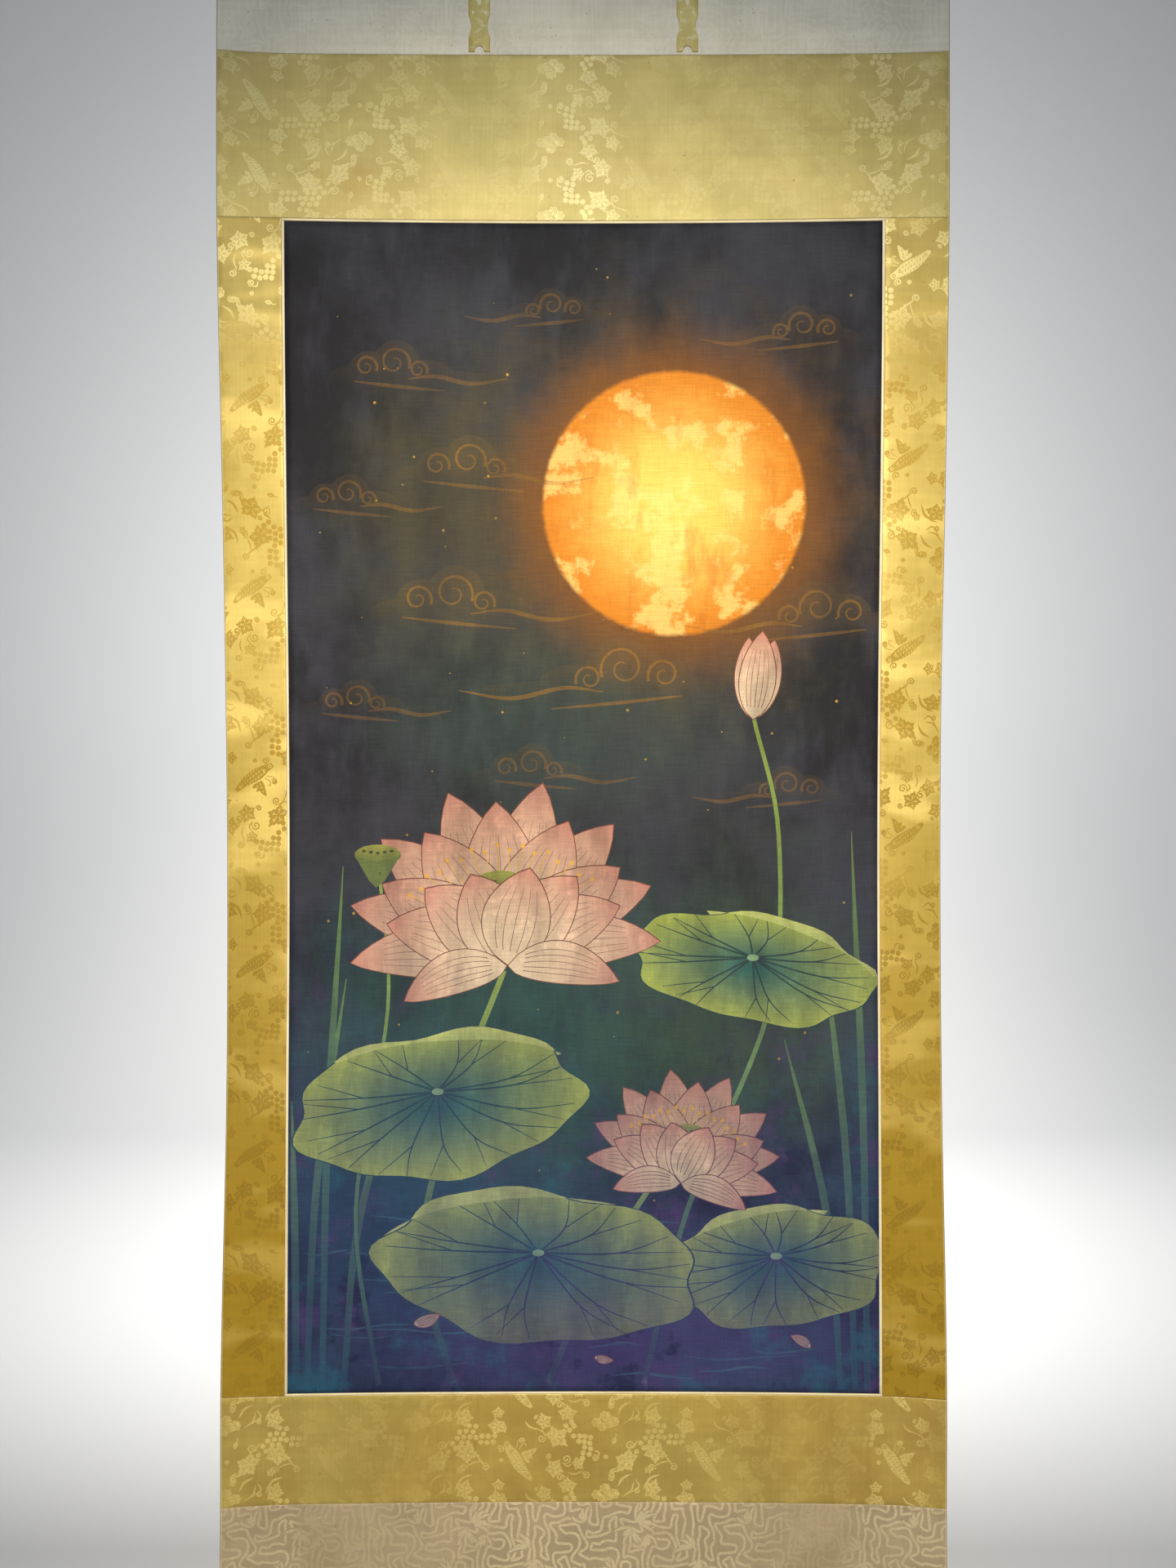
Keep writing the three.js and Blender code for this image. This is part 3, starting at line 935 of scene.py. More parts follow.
def make_painted_silk():
    """Dark painted silk: mottled indigo, hazes, the moon, the paint over them, and the weave."""
    silk = Surface("painted_silk")
    place, across, down = across_and_down(silk)
    cloudy = silk.noise(place, 4.5, detail=6, rough=0.6)
    washed = silk.noise(place, 16, shift=(3, 1, 0), detail=5, rough=0.65)
    streaked = silk.noise(place, 26, stretch=(1, 0.32, 1), shift=(7, 2, 0), detail=5, rough=0.6)
    fine = silk.noise(place, 95, shift=(1, 5, 0), detail=3)

    def apart_from(x, y, half_width, half_height):
        wide = (across - x * MM) / (half_width * MM)
        tall = (down - painting_start - y * MM) / (half_height * MM)
        return (wide ** 2 + tall ** 2) ** 0.5

    night = silk.mix(silk.between(cloudy, 0.35, 0.68), srgb(24, 23, 29), srgb(50, 50, 58))
    night = silk.mix(silk.between(streaked, 0.45, 0.8) * 0.4, night, srgb(64, 64, 78))
    deep = silk.mix(silk.between(cloudy, 0.35, 0.7), srgb(26, 32, 66), srgb(44, 64, 94))
    deep = silk.mix(silk.between(washed, 0.5, 0.75) * 0.7, deep, srgb(74, 54, 108))
    bled = silk.noise(place, 9, shift=(2, 8, 0), detail=7, rough=0.7)
    deep = silk.mix(silk.between(bled, 0.52, 0.68) * 0.7, deep, srgb(34, 88, 112))
    deepening = silk.between(down + 0.12 * cloudy, painting_start + 720 * MM, painting_end - 20 * MM)
    ground = silk.mix(deepening, night, deep)
    for x, y, half_width, half_height, strength, color in HAZES:
        reach = apart_from(x, y, half_width, half_height) + 0.7 * (washed - 0.5)
        haze = (1 - silk.between(reach, 0.2, 1.05)) * strength * silk.between(streaked, 0.25, 0.7, 0.5, 1.0)
        ground = silk.mix(haze, ground, srgb(*color))
    ground = silk.mix(deepening * silk.between(bled, 0.32, 0.42, 0.7, 0), ground, srgb(24, 28, 62))
    from_moon = apart_from(MOON_ACROSS, MOON_DOWN, MOON_RADIUS, MOON_RADIUS)
    glow = 1 - silk.between(from_moon + 0.22 * (washed - 0.5), 0.8, 1.5)
    ground = silk.mix(glow * 0.85, ground, srgb(128, 76, 18))
    towards_rim = silk.between(from_moon + 0.5 * (washed - 0.5), 0.2, 0.95)
    gold = silk.mix(towards_rim, srgb(250, 196, 92), srgb(206, 124, 26))
    gold = silk.mix(silk.between(washed, 0.5, 0.62) * 0.55, gold, srgb(254, 216, 128))
    gold = silk.mix(silk.between(streaked, 0.55, 0.75) * 0.5, gold, srgb(184, 100, 20))
    disc = 1 - silk.between(from_moon + 0.02 * (fine - 0.5), 0.965, 1.01)
    ground = silk.mix(disc, ground, gold)
    worn = silk.between(washed + 0.5 * fine, 0.42, 0.72, 1.0, 0.74)
    laid_on = silk.tone(silk.attribute("paint", "Color"), silk.between(streaked, 0.25, 0.75, 0.72, 1.2))
    laid_on = silk.mix(deepening * 0.45, laid_on, srgb(50, 66, 122))
    color = silk.mix(silk.attribute("paint", "Alpha") * worn, ground, laid_on)
    weft = silk.noise(place, 640, stretch=(0.05, 1, 1), detail=2)
    warp = silk.noise(place, 760, stretch=(1, 0.05, 1), shift=(2, 9, 0), detail=2)
    color = silk.tone(color, 0.66 + 0.38 * weft + 0.3 * warp)
    normal = silk.bump(weft + warp, 0.12 * MM, 0.5)
    return silk.finish(silk.gloss(color, normal, Roughness=0.72, Specular_IOR_Level=0.25))


painting = put_in_place(make_painting(), "painting", make_painted_silk())


# The gold damask: two bands across the scroll and two strips beside the painting, all cut from
# one silk with a woven repeat of grape vines, blossoms and butterflies. The side strips are cut
# with the pattern turned a quarter. The repeat is laid out here in millimetres, across and down.
GOLD_REPEAT = (217, 84)
REPEAT_EDGE_STEP = 7
GRAPE = 3.1
GRAPES = [
    (70.9, 25.5), (64.4, 29.7), (73.7, 30.1), (68.6, 35.2), (62.1, 36.6), (73.2, 41.7), (80.2, 41.7),
    (86.4, 42.0), (92.9, 43.4), (79.3, 47.9), (85.8, 48.4), (92.0, 50.1), (86.2, 54.8), (93.0, 56.6),
    (84.4, 61.3), (91.3, 63.1), (83.7, 67.9), (170.1, 29.3), (177.6, 30.1), (174.4, 36.4), (166.6, 35.6),
    (159.0, 36.6), (163.8, 42.3), (171.1, 42.3), (177.6, 43.2), (156.3, 43.7), (161.5, 48.9),
    (168.8, 48.8), (150.7, 49.8), (154.6, 55.5), (184.7, 41.5), (191.9, 41.7), (199.4, 41.3),
    (183.4, 48.4), (190.5, 48.9), (197.7, 48.5),
]
VINE_LEAVES = [
    # across, down, size, stretch, turn in degrees
    (66.3, 16.2, 10.4, 0.85, 270), (39.6, 25.5, 8.6, 1.1, 250), (52.9, 42.2, 10.7, 1.35, 40),
    (50.1, 78.8, 10.4, 1.0, 20), (77.9, 74.2, 7.6, 0.9, 330), (163.7, 20.5, 9.6, 1.2, 290),
    (166.1, 60.5, 11.2, 1.2, 15), (134.7, 69.7, 11.3, 1.35, 130), (203.5, 15.2, 7.2, 0.9, 270),
    (202.6, 29.6, 10.4, 0.9, 110), (159.0, 80.3, 4.6, 1.0, 60),
]
BUDS = [
    # start across, start down, end across, end down, width
    (121.4, 43, 119.0, 51.5, 5.2), (107.6, 66.1, 113.2, 66.1, 5.4), (204.0, 69.5, 209.4, 69.5, 5.4),
    (95.5, 66.0, 99.0, 71.0, 4.0), (28.2, 22.0, 31.8, 17.4, 4.2), (148.2, 57.4, 143.6, 62.4, 5.4),
]
ARCS = [
    # three places that a stroke passes through, and its width at its middle
    (124.2, 16.2, 129.6, 7.0, 139.3, 1.9, 3.0), (130.0, 27.8, 140.0, 20.4, 142.3, 10.4, 1.8),
    (138.2, 23.6, 148.6, 16.2, 144.6, 8.1, 1.8), (156.0, 15.7, 161.7, 6.5, 173.4, 2.3, 3.0),
    (154.0, 20.7, 156.2, 13.5, 160.4, 9.6, 1.8), (176.4, 61.4, 182.7, 69.5, 186.8, 75.0, 1.9),
    (183.4, 70.4, 175.2, 72.3, 167.5, 76.0, 1.7), (17.6, 24.3, 22.3, 30.6, 34.3, 34.8, 2.2),
    (33.3, 34.5, 38.2, 37.0, 40.6, 42.4, 1.9), (96.6, 58.8, 102.2, 60.4, 101.9, 66.4, 1.9),
    (124.2, 78.8, 116.8, 81.6, 114.0, 86.9, 1.9), (147.3, 46.5, 142.3, 53.3, 137.8, 56.0, 2.4),
    (130.0, -2.8, 118.4, -0.5, 114.0, 5.2, 2.2), (121.5, 38.3, 122.6, 41.0, 121.4, 44.4, 1.2),
    (60.0, 72.0, 66.0, 77.0, 71.0, 74.0, 1.6), (208.0, 24.0, 212.0, 31.0, 210.4, 38.0, 1.6),
    (66.6, 84.0, 74.0, 86.0, 84.0, 82.6, 1.8), (57.0, 9.0, 60.0, 4.0, 66.0, 6.4, 1.6),
]
CURLS = [
    # across, down, reach, starting turn in degrees, +1 or -1 for the way it winds
    (36.4, 44.4, 4.6, 330, 1), (65.0, 68.5, 5.4, 120, -1), (138.0, 52.8, 5.4, 30, -1),
    (188.6, 77.4, 4.4, 240, 1), (163.4, 78.8, 4.6, 20, -1), (14.4, 46.6, 3.6, 120, 1),
    (206.4, 56.8, 4.4, 200, 1), (57.6, 5.6, 4.6, 40, -1), (87.6, 3.6, 4.6, 200, 1),
    (117.4, 87.0, 3.8, 180, -1), (117.0, 6.2, 3.6, 180, -1), (98.8, 66.2, 3.8, 0, 1),
    (147.0, 21.0, 3.4, 300, -1), (45.0, 65.4, 3.4, 90, 1),
]
motifs = []


def weave(outline, figure=1):
    """Adds a woven shape. Figure 0 cuts the ground back into an earlier one."""
    motifs.append((np.asarray(outline), figure))


def vine_leaf_reach(theta):
    """How far a five-lobed vine leaf reaches at each turn, with broad lobes and a toothed edge."""
    lobes = 1.04 - 0.32 * np.abs(np.sin(2.5 * theta)) ** 1.3
    return lobes * (1 + 0.09 * np.cos(15 * theta)) * (1 - 0.12 * np.cos(theta - math.pi))


def weave_vine_leaf(x, y, size, stretch, turn):
    """A vine leaf whose veins show the ground."""
    theta = np.linspace(0, 2 * math.pi, 60, endpoint=False)
    c, s = math.cos(math.radians(turn)), math.sin(math.radians(turn))

    def at(reach, way):
        ahead, aside = stretch * reach * np.cos(way), reach * np.sin(way)
        return np.stack([x + ahead * c - aside * s, y + ahead * s + aside * c], axis=-1)

    weave(at(size * vine_leaf_reach(theta), theta))
    for lobe in range(5):
        way = lobe * 2 * math.pi / 5
        weave(strip(through([at(0.16 * size, way), at(0.76 * size, way)], 2), 0.7, 0.4), 0)
        for side in (-0.3, 0.3):
            weave(strip(through([at(0.42 * size, way), at(0.66 * size, way + side)], 2), 0.5, 0.4), 0)


def weave_bud(x0, y0, x1, y1, width):
    """A slender bud with one vein."""
    line = through([(x0, y0), (x1, y1)], 8)
    weave(strip(line, 0.8, 0.4, width))
    weave(strip(line[2:-2], 0.5, 0.3), 0)


def weave_curl(x, y, reach, start, hand):
    """A vine tendril that winds in on itself."""
    turn = np.linspace(0, 2.9 * math.pi, 26)
    near = reach * (1 - 0.85 * turn / turn[-1])
    way = math.radians(start) + hand * turn
    line = np.stack([x + near * np.cos(way), y + near * np.sin(way)], 1)
    weave(strip(line, 1.0, 1.4, 1.7))


BLOSSOM_HEADS = [
    # across and down from the middle and size, all in sizes of the blossom, and scallops
    (-0.78, 0.02, 0.44, 6), (-0.1, -0.5, 0.46, 7), (0.62, -0.04, 0.48, 7), (-0.3, 0.4, 0.42, 6),
    (0.16, 0.12, 0.44, 6),
]


def weave_blossom(x, y, size):
    """A full blossom of five scalloped heads, each with a curl in it."""
    for head_x, head_y, head, lobes in BLOSSOM_HEADS:
        theta = np.linspace(0, 2 * math.pi, 6 * lobes, endpoint=False)
        reach = size * head * (0.82 + 0.18 * np.abs(np.cos(lobes * theta / 2)))
        at_x, at_y = x + size * head_x, y + size * head_y
        weave(np.stack([at_x + reach * np.cos(theta), at_y + 0.9 * reach * np.sin(theta)], 1))
        arc = np.linspace(0.3, 1.62 * math.pi, 14)
        for inner in (0.62 * size * head, 0.26 * size * head):
            curl = np.stack([at_x + inner * np.cos(arc), at_y + 0.9 * inner * np.sin(arc)], 1)
            weave(strip(curl, 0.4, 0.4, 1.0), 0)


FORE_WING = [
    (-7.4, 50.1), (-3.2, 47.2), (2.6, 53.8), (8.6, 59.3), (13.2, 66.2), (17.2, 74.2), (21.6, 83.4),
    (25.6, 90.4), (23.4, 93.6), (18.0, 90.4), (11.6, 85.6), (5.2, 78.8), (-0.6, 69.5),
    (-4.6, 60.3), (-7.4, 50.1),
]
HIND_WING = [
    (12.8, 61.7), (17.5, 58.6), (22.3, 57.4), (30.7, 55.6), (28.6, 60.6), (25.0, 64.4),
    (26.4, 67.8), (21.6, 67.4), (22.3, 72.3), (17.6, 70.9), (12.8, 61.7),
]
FEELERS = [
    [(7.9, 55.5), (9.3, 47.5), (14.8, 44.5), (15.4, 48.0)],
    [(10.1, 57.8), (13.9, 51.4), (18.5, 51.1), (18.0, 54.0)],
]


def weave_butterfly():
    """A butterfly with one long scaly fore wing, a hind wing and two feelers."""
    for wing in (FORE_WING, HIND_WING):
        weave(through(wing, 5)[:-1])
    for x, y in ((16.0, 62.5), (20.0, 61.4), (24.2, 59.8), (19.0, 66.2)):
        weave(strip(through([(x, y + 1.4), (x + 2.4, y - 0.4)], 3), 0.4, 0.3, 0.9), 0)
    for x, y, size in ((-3.6, 51.8, 2.2), (1.6, 58.6, 1.7), (20.4, 87.6, 2.0)):
        weave(oval(x, y, size, count=12), 0)
        weave(oval(x, y, size * 0.5, count=8))
    for row in range(8):
        for column in (-1, 0, 1):
            x = 0.2 + 2.5 * row + 3.6 * column
            y = 62.0 + 3.4 * row - 2.7 * column
            scale = through([(x - 1.5, y + 0.1), (x, y - 1.1), (x + 1.5, y + 0.3)], 3)
            weave(strip(scale, 0.3, 0.3, 0.9), 0)
    for feeler in FEELERS:
        weave(strip(through(feeler, 6), 0.9, 1.1))


def lay_out_vines():
    """Draws one repeat of the vines."""
    for x0, y0, x1, y1, x2, y2, width in ARCS:
        weave(strip(through([(x0, y0), (x1, y1), (x2, y2)], 6), 0.6, 0.6, width))
    for curl in CURLS:
        weave_curl(*curl)
    for leaf in VINE_LEAVES:
        weave_vine_leaf(*leaf)
    for bud in BUDS:
        weave_bud(*bud)
    for x, y in GRAPES:
        weave(oval(x, y, GRAPE, count=14))
    weave_blossom(111.0, 25.4, 14.0)
    weave_butterfly()


lay_out_vines()


def cut_straight(outline, axis, limit, side):
    """The part of an outline on one side of a straight cut along the repeat's edge."""
    kept = []
    for before, point in zip(np.roll(outline, 1, axis=0), outline):
        was_in = side * (before[axis] - limit) < 0
        is_in = side * (point[axis] - limit) < 0
        if was_in != is_in:
            crossing = before + (point - before) * (limit - before[axis]) / (point[axis] - before[axis])
            crossing[axis] = limit
            kept.append(crossing)
        if is_in:
            kept.append(point)
    return np.array(kept)


def make_repeat(name, size, drawn):
    """One woven repeat as a flat mesh, whose left edge meets its right one and its top its bottom."""
    outlines, figures = [rectangle(0, size[0], 0, size[1], REPEAT_EDGE_STEP)], [0]
    shifts = [(size[0] * i, size[1] * j) for i in (-1, 0, 1) for j in (-1, 0, 1)]
    for outline, figure in drawn:
        for shift in shifts:
            part = outline + shift
            for axis, limit, side in ((0, 0, -1), (0, size[0], 1), (1, 0, -1), (1, size[1], 1)):
                if len(part):
                    part = cut_straight(part, axis, limit, side)
            if len(part) > 2:
                outlines.append([tuple(p) for p in part])
                figures.append(figure)
    inside = [
        (a, d)
        for a in spaced(0, size[0], REPEAT_EDGE_STEP)[1:-1]
        for d in spaced(0, size[1], REPEAT_EDGE_STEP)[1:-1]
    ]
    flat, faces, owners, _ = fill(outlines, inside)
    mesh = bpy.data.meshes.new(name)
    mesh.from_pydata(np.column_stack([flat * MM, np.zeros(len(flat))]).tolist(), [], faces.tolist())
    layer = mesh.attributes.new("figure", "FLOAT", "FACE")
    layer.data.foreach_set("value", np.array(figures, float)[owners])
    made = bpy.data.objects.new(name, mesh)
    bpy.context.collection.objects.link(made)
    return made


WELD = 0.002 * MM


def make_tiling():
    """Geometry nodes that lay one repeat side by side in rows and weld the joins."""
    tree = bpy.data.node_groups.new("woven_repeats", "GeometryNodeTree")
    sockets = {}
    for name, kind in (
        ("Repeat", "NodeSocketGeometry"), ("Columns", "NodeSocketInt"), ("Rows", "NodeSocketInt"),
        ("Column Step", "NodeSocketFloat"), ("Row Step", "NodeSocketFloat"),
        ("Material", "NodeSocketMaterial"),
    ):
        sockets[name] = tree.interface.new_socket(name=name, in_out="INPUT", socket_type=kind)
    tree.interface.new_socket(name="Cloth", in_out="OUTPUT", socket_type="NodeSocketGeometry")
    nodes, links = tree.nodes, tree.links
    given = nodes.new("NodeGroupInput")
    grid = nodes.new("GeometryNodeMeshGrid")
    for count, step, size in (("Columns", "Column Step", "Size X"), ("Rows", "Row Step", "Size Y")):
        fewer = nodes.new("ShaderNodeMath")
        fewer.operation = "SUBTRACT"
        fewer.inputs[1].default_value = 1
        reach = nodes.new("ShaderNodeMath")
        reach.operation = "MULTIPLY"
        links.new(given.outputs[count], fewer.inputs[0])
        links.new(fewer.outputs[0], reach.inputs[0])
        links.new(given.outputs[step], reach.inputs[1])
        links.new(reach.outputs[0], grid.inputs[size])
    links.new(given.outputs["Columns"], grid.inputs["Vertices X"])
    links.new(given.outputs["Rows"], grid.inputs["Vertices Y"])
    placed = nodes.new("GeometryNodeInstanceOnPoints")
    links.new(grid.outputs["Mesh"], placed.inputs["Points"])
    links.new(given.outputs["Repeat"], placed.inputs["Instance"])
    real = nodes.new("GeometryNodeRealizeInstances")
    links.new(placed.outputs["Instances"], real.inputs["Geometry"])
    weld = nodes.new("GeometryNodeMergeByDistance")
    weld.inputs["Distance"].default_value = WELD
    links.new(real.outputs["Geometry"], weld.inputs["Geometry"])
    paint_on = nodes.new("GeometryNodeSetMaterial")
    links.new(weld.outputs["Geometry"], paint_on.inputs["Geometry"])
    links.new(given.outputs["Material"], paint_on.inputs["Material"])
    out = nodes.new("NodeGroupOutput")
    links.new(paint_on.outputs["Geometry"], out.inputs["Cloth"])
    return tree, {name: socket.identifier for name, socket in sockets.items()}


tiling, tiling_inputs = make_tiling()


def weave_cloth(repeat, size, columns, rows, material):
    """A plain mesh of repeats, with the first one's corner at the origin."""
    modifier = repeat.modifiers.new("tiling", "NODES")
    modifier.node_group = tiling
    for name, value in (
        ("Columns", columns), ("Rows", rows), ("Column Step", size[0] * MM), ("Row Step", size[1] * MM),
        ("Material", material),
    ):
        modifier[tiling_inputs[name]] = value
    graph = bpy.context.evaluated_depsgraph_get()
    cloth = bpy.data.meshes.new_from_object(repeat.evaluated_get(graph))
    repeat.modifiers.remove(modifier)
    cloth.transform(Matrix.Translation((
        (columns - 1) * size[0] * MM / 2, (rows - 1) * size[1] * MM / 2, 0
    )))
    return cloth


def cut_cloth(cloth, left, right, top, bottom):
    """Cuts a piece out of woven cloth. Gives its flat places, its triangles and their figure."""
    work = bmesh.new()
    work.from_mesh(cloth)
    for axis, low, high in ((0, left, right), (1, top, bottom)):
        for place, clear_low, clear_high in (
            (low, True, False), (low + SOFT_EDGE, False, False),
            (high - SOFT_EDGE, False, False), (high, False, True),
        ):
            point, way = [0, 0, 0], [0, 0, 0]
            point[axis], way[axis] = place, 1
            every = work.verts[:] + work.edges[:] + work.faces[:]
            bmesh.ops.bisect_plane(
                work, geom=every, dist=CUT_SNAP, plane_co=point, plane_no=way,
                clear_inner=clear_low, clear_outer=clear_high,
            )
    bmesh.ops.triangulate(work, faces=work.faces[:])
    figure_layer = work.faces.layers.float["figure"]
    work.verts.index_update()
    flat = np.array([v.co.xy[:] for v in work.verts])
    faces = np.array([[v.index for v in face.verts] for face in work.faces])
    figure = np.array([face[figure_layer] for face in work.faces])
    work.free()
    return flat, faces, figure


def make_woven_piece(name, node, repeat, size, material, box, origin, quarter_turns, hem=None):
    """Weaves enough cloth, cuts one piece from it and hangs it. A repeat starts at the origin."""
    left, right, top, bottom = box
    turned = Matrix.Rotation(quarter_turns * math.pi / 2, 4, "Z")
    start = Vector((origin[0], origin[1], 0))
    corners = [
        turned.inverted() @ (Vector((a, d, 0)) - start) for a in (left, right) for d in (top, bottom)
    ]
    first, counts = [], []
    for axis in (0, 1):
        step = size[axis] * MM
        first.append(math.floor(min(c[axis] for c in corners) / step))
        counts.append(math.ceil(max(c[axis] for c in corners) / step) - first[axis])
    cloth = weave_cloth(repeat, size, *counts, material)
    moved = Matrix.Translation((first[0] * size[0] * MM, first[1] * size[1] * MM, 0))
    cloth.transform(Matrix.Translation(start) @ turned @ moved)
    flat, faces, figure = cut_cloth(cloth, left, right, top, bottom)
    sheet = make_sheet(name, flat, faces, hem)
    mark_figure(sheet, figure)
    put_in_place(sheet, node, material)
    right - left
    bottom - top


def catch_light(silk, across, shine, rest):
    """How clearly the figure shows: a low even share, and more where the cloth catches the light."""
    shown = rest
    for middle, half, strength in shine:
        apart = silk.math("ABSOLUTE", across - middle * MM)
        shown = shown + silk.between(apart, half * 0.55 * MM, half * 1.25 * MM, strength, 0)
    return shown


def broken_up(silk, place):
    """How much of the figure each crossing of threads shows."""
    crossings = silk.noise(place, 520, stretch=(0.4, 1, 1), shift=(5, 5, 0), detail=2)
    return silk.between(crossings, 0.3, 0.66, 0.62, 1.0)


def weather(silk, color, across, place):
    """Fine rows and columns of thread, small brown spots, and browned cut edges."""
    rows = silk.noise(place, 150, stretch=(0.03, 1, 1), detail=3)
    columns = silk.noise(place, 420, stretch=(1, 0.03, 1), shift=(4, 1, 0), detail=2)
    color = silk.tone(color, 0.86 + 0.14 * rows + 0.14 * columns)
    spots = silk.between(silk.noise(place, 170, shift=(8, 8, 0), detail=1), 0.81, 0.85)
    color = silk.mix(spots * 0.45, color, srgb(120, 88, 48))
    from_edge = cloth_side - silk.math("ABSOLUTE", across)
    turned_in = silk.between(from_edge, 0.9 * MM, 2.6 * MM, 0.4, 0)
    color = silk.mix(turned_in, color, srgb(244, 228, 176))
    browned = silk.between(from_edge, 0.3 * MM, 1.1 * MM, 0.75, 0)
    return silk.mix(browned, color, srgb(112, 84, 50)), rows + columns


# How clearly the bands' figure shows along them as painted sheen, paler where the cloth catches the light,
# in millimetres across from the middle
UPPER_SHINE = [(-300, 130, 0.5), (-5, 48, 0.85), (356, 60, 0.6)]
LOWER_SHINE = [(-372, 45, 0.85), (0, 165, 0.95), (360, 36, 0.8)]
DULL_SHARE = 0.2
# Where the side strips' figure turns from painted sheen, paler, to duller
SHEEN_FLIP_START = painting_start + 60 * MM
SHEEN_FLIP_END = painting_start + 190 * MM
# Where painted shade darkens the side strips' ground towards the bottom; above its start the ground is
# painted darker towards the top
BORDER_SHADE_START = painting_start + 320 * MM
BORDER_SHADE_END = painting_start + 1220 * MM


def make_gold_damask(name, low, high, pale, shine=None):
    """Old gold satin, its sheen painted in: a paler figure on the bands, mostly duller on the side strips.
    """
    silk = Surface(name)
    place, across, down = across_and_down(silk)
    figure = silk.attribute("figure")
    cloudy = silk.noise(place, 11, shift=(5, 3, 0), detail=5, rough=0.6)
    patchy = silk.noise(place, 9, stretch=(0.6, 1, 1), shift=(3, 7, 0), detail=3)
    greened = silk.noise(place, 3.4, shift=(9, 6, 0), detail=3)
    browned = silk.noise(place, 7, shift=(1, 12, 0), detail=5, rough=0.65)
    ground = silk.mix(silk.between(cloudy, 0.3, 0.7), low, high)
    ground = silk.mix(silk.between(greened, 0.46, 0.66) * 0.28, ground, srgb(176, 172, 98))
    ground = silk.mix(silk.between(browned, 0.56, 0.78) * 0.4, ground, srgb(182, 144, 70))
    # On the bands the woven figure is painted paler as sheen, most where the cloth catches the light
    if shine:
        shown = catch_light(silk, across, shine, DULL_SHARE) * silk.between(patchy, 0.3, 0.6, 0.55, 1.0)
        tint = silk.mix(shown * broken_up(silk, place), ground, pale)
    else:
        # The side strips' light is painted in: their ground is painted darker towards the bottom as shade,
        # and darker near the top where the light falls off
        deep = silk.between(down, BORDER_SHADE_START, BORDER_SHADE_END)
        ground = silk.mix(deep, ground, srgb(166, 134, 38))
        ground = silk.tone(ground, silk.between(down, mounting_start, BORDER_SHADE_START, 0.74, 1.0))
        # Soft bright patches of painted sheen on the side strips' ground, fainter lower down
        sheen_patches = silk.noise(place, 10, stretch=(0.7, 1.7, 1), shift=(2, 5, 0), detail=2)
        painted_sheen = silk.between(sheen_patches, 0.5, 0.7) * silk.between(deep, 0.2, 0.9, 1.0, 0.35)
        ground = silk.mix(painted_sheen * 0.6, ground, srgb(252, 222, 130))
        # The side strips' figure is painted paler as sheen near the top and duller below, showing less
        # lower down
        shown = silk.between(patchy, 0.3, 0.6, 0.35, 0.9) * silk.between(deep, 0.3, 1.0, 1.0, 0.55)
        duller = silk.mix(shown, ground, silk.mix(deep, srgb(176, 142, 48), srgb(128, 100, 24)))
        paler = silk.mix(shown, ground, pale)
        tint = silk.mix(silk.between(down, SHEEN_FLIP_START, SHEEN_FLIP_END), paler, duller)
    color, threads = weather(silk, silk.mix(figure, ground, tint), across, place)
    normal = silk.bump(threads * 0.5 + figure * 0.6, 0.12 * MM, 0.35)
    gloss = silk.gloss(color, normal, Roughness=0.5, Metallic=0.15, Specular_IOR_Level=0.3)
    return silk.finish(gloss)


gold_repeat = make_repeat("gold_repeat", GOLD_REPEAT, motifs)
# One gold silk in three tones painted for the light on each part: the upper band's is painted cooler for
# the cool light at the top, the lower band's darker, as shade
side_silk = make_gold_damask(
    "gold_damask_turned", srgb(198, 172, 88), srgb(218, 192, 106), srgb(240, 222, 148)
)
upper_silk = make_gold_damask(
    "gold_damask_upper", srgb(184, 166, 100), srgb(200, 182, 113), srgb(226, 212, 150), UPPER_SHINE
)
lower_silk = make_gold_damask(
    "gold_damask_lower", srgb(172, 144, 70), srgb(190, 162, 84), srgb(222, 198, 120), LOWER_SHINE
)
upper_band = (-cloth_side, cloth_side, upper_band_start, mounting_start - SEAM)
lower_band = (-cloth_side, cloth_side, lower_band_start, lower_band_end)
left_border = (-cloth_side, -border_start, mounting_start, mounting_end)
right_border = (border_start, cloth_side, mounting_start, mounting_end)
GOLD_PIECES = [
    # name, node, material, its sides, where a repeat starts across and down, quarter turns
    ("gold_upper", "upper_band", upper_silk, upper_band, 72.5 * MM, upper_band_start + 124.2 * MM, 2),
    ("gold_lower", "lower_band", lower_silk, lower_band, -301.6 * MM, lower_band_start + 6.6 * MM, 0),
    ("gold_left", "border_left", side_silk, left_border, -310.8 * MM, 716.4 * MM, 1),
    ("gold_right", "border_right", side_silk, right_border, 301.0 * MM, 1020.6 * MM, 3),
]
for name, node, silk, sides, start_across, start_down, turns in GOLD_PIECES:
    make_woven_piece(
        name, node, gold_repeat, GOLD_REPEAT, silk, sides,
        (start_across, start_down), turns,
    )
bpy.data.objects.remove(gold_repeat)


# The grey damask: the top and bottom panels, woven with feathery flower heads and, all over the
# ground between them, one long wandering line. The outer end of each is folded back into a hem.
GREY_REPEAT = (190, 150)
FANS = [
    # across, down, length, turn of the middle petal in degrees, spread in degrees, petals, bend
    (44, 34, 26, 300, 110, 7, 0.5), (40, 38, 24, 140, 120, 6, -0.5), (52, 44, 20, 40, 70, 4, 0.7),
    (108, 62, 24, 250, 90, 5, -0.6), (112, 72, 20, 60, 100, 5, 0.6), (150, 112, 27, 210, 120, 7, 0.5),
    (158, 116, 24, 20, 110, 6, -0.5), (152, 124, 18, 110, 60, 4, 0.6), (78, 118, 22, 320, 80, 5, 0.6),
    (70, 124, 20, 170, 90, 5, -0.6), (176, 30, 20, 200, 80, 4, 0.7), (14, 92, 22, 280, 90, 5, -0.6),
]
LINE_COLUMNS = 12
LINE_ROWS = 9
